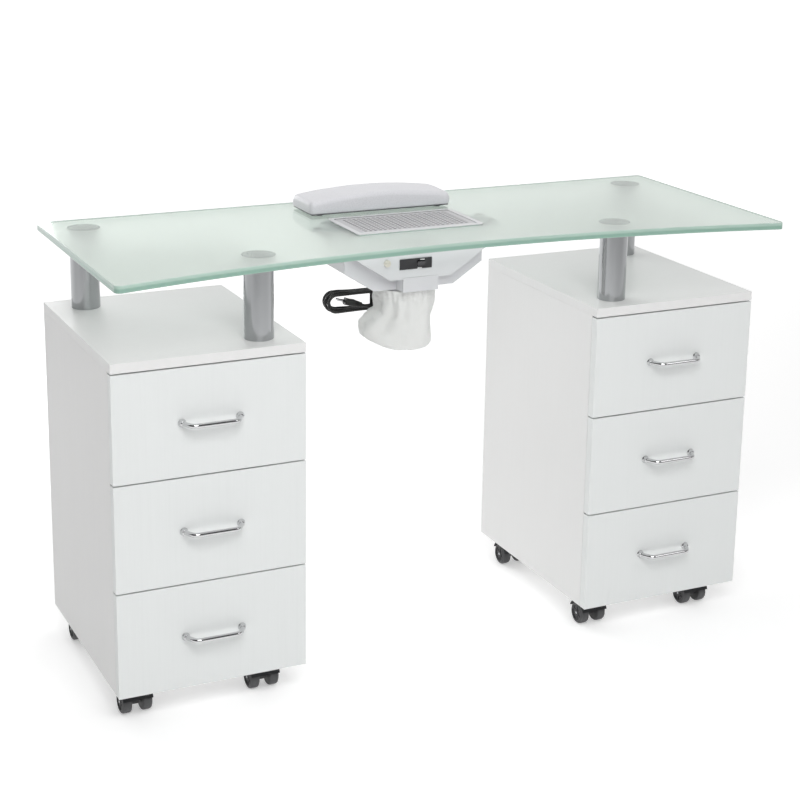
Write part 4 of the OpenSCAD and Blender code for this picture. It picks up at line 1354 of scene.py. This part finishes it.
def cushion_mesh():
    """Long pad: arched from end to end, its ends and edges rolled over."""
    low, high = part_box("wrist_cushion")
    centre = mid("wrist_cushion")
    half_x = half("wrist_cushion").x - 0.0008
    half_y = half("wrist_cushion").y - 0.0024
    base = low.z + 0.0042
    end_h = 0.0205
    rise = high.z - 0.0018 - base - end_h
    arc = (half_x * half_x + rise * rise) / (2 * rise)
    end_roll = 0.0075
    inner = half_x - end_roll
    stations = [-inner - end_roll * math.cos(math.pi / 2 * k / 8) for k in range(9)]
    stations += [-inner + 2 * inner * k / 34 for k in range(1, 34)] + [-x for x in stations[::-1]]
    bm = bmesh.new()
    rings = []
    for x in stations:
        into = max(0.0, end_roll - (half_x - abs(x)))
        pull = end_roll - math.sqrt(max(0.0, end_roll * end_roll - into * into))
        top = base + end_h + rise - (arc - math.sqrt(arc * arc - x * x))
        section = cushion_section(half_y - pull, base + 0.3 * pull, top - pull * 0.9, 0.0075, 0.003)
        rings.append([bm.verts.new((centre.x + x, centre.y + y, z)) for y, z in section])
    skin(bm, rings, capped=False)
    for ring in (rings[0], rings[-1]):
        hub = sum((v.co for v in ring), Vector()) / len(ring)
        end = [ring]
        for shrink in (0.75, 0.5, 0.25):
            end.append([bm.verts.new(hub + (v.co - hub) * shrink) for v in ring])
        skin(bm, end, capped=False)
        tip = bm.verts.new(hub)
        for a, b in zip(end[-1], end[-1][1:] + end[-1][:1]):
            bm.faces.new([a, b, tip])
    # soft unevenness of a stuffed pad
    for v in bm.verts:
        inside = smoothstep(base, base + 0.012, v.co.z)
        v.co.z += 0.0006 * inside * noise.noise(v.co * 26)
    return bm


def make_cushion():
    low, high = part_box("wrist_cushion")
    bm = cushion_mesh()
    pad = finish_mesh("wrist_cushion_pad", bm, [CUSHION_LEATHER], ["wrist_cushion"], sharp=70)
    smooth_out(pad)
    # base board, near black as painted shade of the gap under the pad, and four rubber feet under it
    centre = mid("wrist_cushion")
    half_x, half_y, _ = half("wrist_cushion")
    bm = bmesh.new()
    block(
        bm, (low.x + 0.004, low.y + 0.004, low.z + 0.0026), (high.x - 0.004, high.y - 0.004, low.z + 0.0045)
    )
    board = finish_mesh("cushion_board", bm, [BASE_BOARD_SHADE], [], body="cushion")
    round_edges(board, 0.0006, 2)
    bm = bmesh.new()
    for sx in (-1, 1):
        for sy in (-1, 1):
            spot = Vector((centre.x + sx * (half_x - 0.022), centre.y + sy * (half_y - 0.016), low.z))
            foot = [(0, 0), (0.0058, 0), (0.0068, 0.0008), (0.0070, 0.0028), (0, 0.0028)]
            lathe(bm, foot, Matrix.Translation(spot), 32)
    finish_mesh("cushion_feet", bm, [FOOT_RUBBER], [], body="cushion")


make_cushion()

# ---------------------------------------------------------------- stage


def make_floor():
    bm = bmesh.new()
    size = 30
    bmesh.ops.create_grid(bm, x_segments=1, y_segments=1, size=size)
    mesh = bpy.data.meshes.new("floor")
    bm.to_mesh(mesh)
    bm.free()
    look = Finish("floor_paper", (0.82, 0.82, 0.82), 0.9)
    # the floor glows: painted light, faint near the camera, stronger from the table on and strongest far
    # behind it
    look.set("Emission Color", (1, 1, 1, 1))
    split = look.add("ShaderNodeSeparateXYZ")
    look.link(look.coords, split.inputs[0])
    near = look.span(split.outputs["Y"], -2.4, -0.9, 0.08, 0.34)
    far = look.span(split.outputs["Y"], 0.4, 3.0, 0.0, 0.42)
    look.link(look.maths("ADD", near, far), look.shader.inputs["Emission Strength"])
    look.bump(look.noise(300, detail=2), 0.00005)
    mesh.materials.append(look.material)
    put("floor", mesh)


def make_world():
    """White studio, dark behind the camera and dim to the left."""
    world = bpy.data.worlds.new("studio")
    world.use_nodes = True
    tree = world.node_tree
    background = tree.nodes["Background"]
    coords = tree.nodes.new("ShaderNodeTexCoord")

    def towards(direction, low, high, to_low, to_high):
        """Strength that changes from to_low to to_high as a ray turns to the direction."""
        dot = tree.nodes.new("ShaderNodeVectorMath")
        dot.operation = "DOT_PRODUCT"
        dot.inputs[1].default_value = Vector(direction).normalized()
        tree.links.new(coords.outputs["Generated"], dot.inputs[0])
        return map_range(tree, dot.outputs["Value"], (low, high), (to_low, to_high), "SMOOTHSTEP")

    def product(a, b):
        node = tree.nodes.new("ShaderNodeMath")
        node.operation = "MULTIPLY"
        tree.links.new(a, node.inputs[0])
        tree.links.new(b, node.inputs[1])
        return node.outputs[0]

    camera_side = towards((-0.15, -0.98, 0.05), 0.2, 0.8, 1.0, 0.07)
    left = towards((-1, 0, 0), 0.2, 0.85, 1.0, 0.12)
    right = towards((1, -0.3, 0), 0.3, 0.9, 1.0, 0.45)
    above = towards((0, 0, 1), 0.3, 0.95, 1.0, 0.55)
    strength = product(product(camera_side, left), product(right, above))
    tree.links.new(strength, background.inputs["Strength"])
    background.inputs["Color"].default_value = (1, 1, 1, 1)
    bpy.context.scene.world = world


def make_light(name, at, target, size, power):
    data = bpy.data.lights.new(name, "AREA")
    data.shape = "RECTANGLE"
    data.size, data.size_y = size
    data.energy = power
    light = put(name, data)
    light.visible_camera = False
    light.location = at
    light.rotation_mode = "QUATERNION"
    light.rotation_quaternion = (Vector(target) - Vector(at)).to_track_quat("-Z", "Y")


make_floor()
make_world()
make_light("key", (-0.7, -2.2, 2.3), (0.1, 0, 0.4), (1.8, 1.4), 50)
make_light("side_fill", (-0.55, 2.0, 0.9), (0.3, 0, 0.35), (0.9, 0.9), 12)
make_light("front_right", (2.0, -2.4, 2.4), (0, 0, 0.4), (1.2, 1.2), 11)
make_light("overhead", (0.1, 0.5, 2.4), (0, 0, 0.7), (1.0, 0.6), 5)
bpy.context.scene.view_settings.view_transform = "Standard"
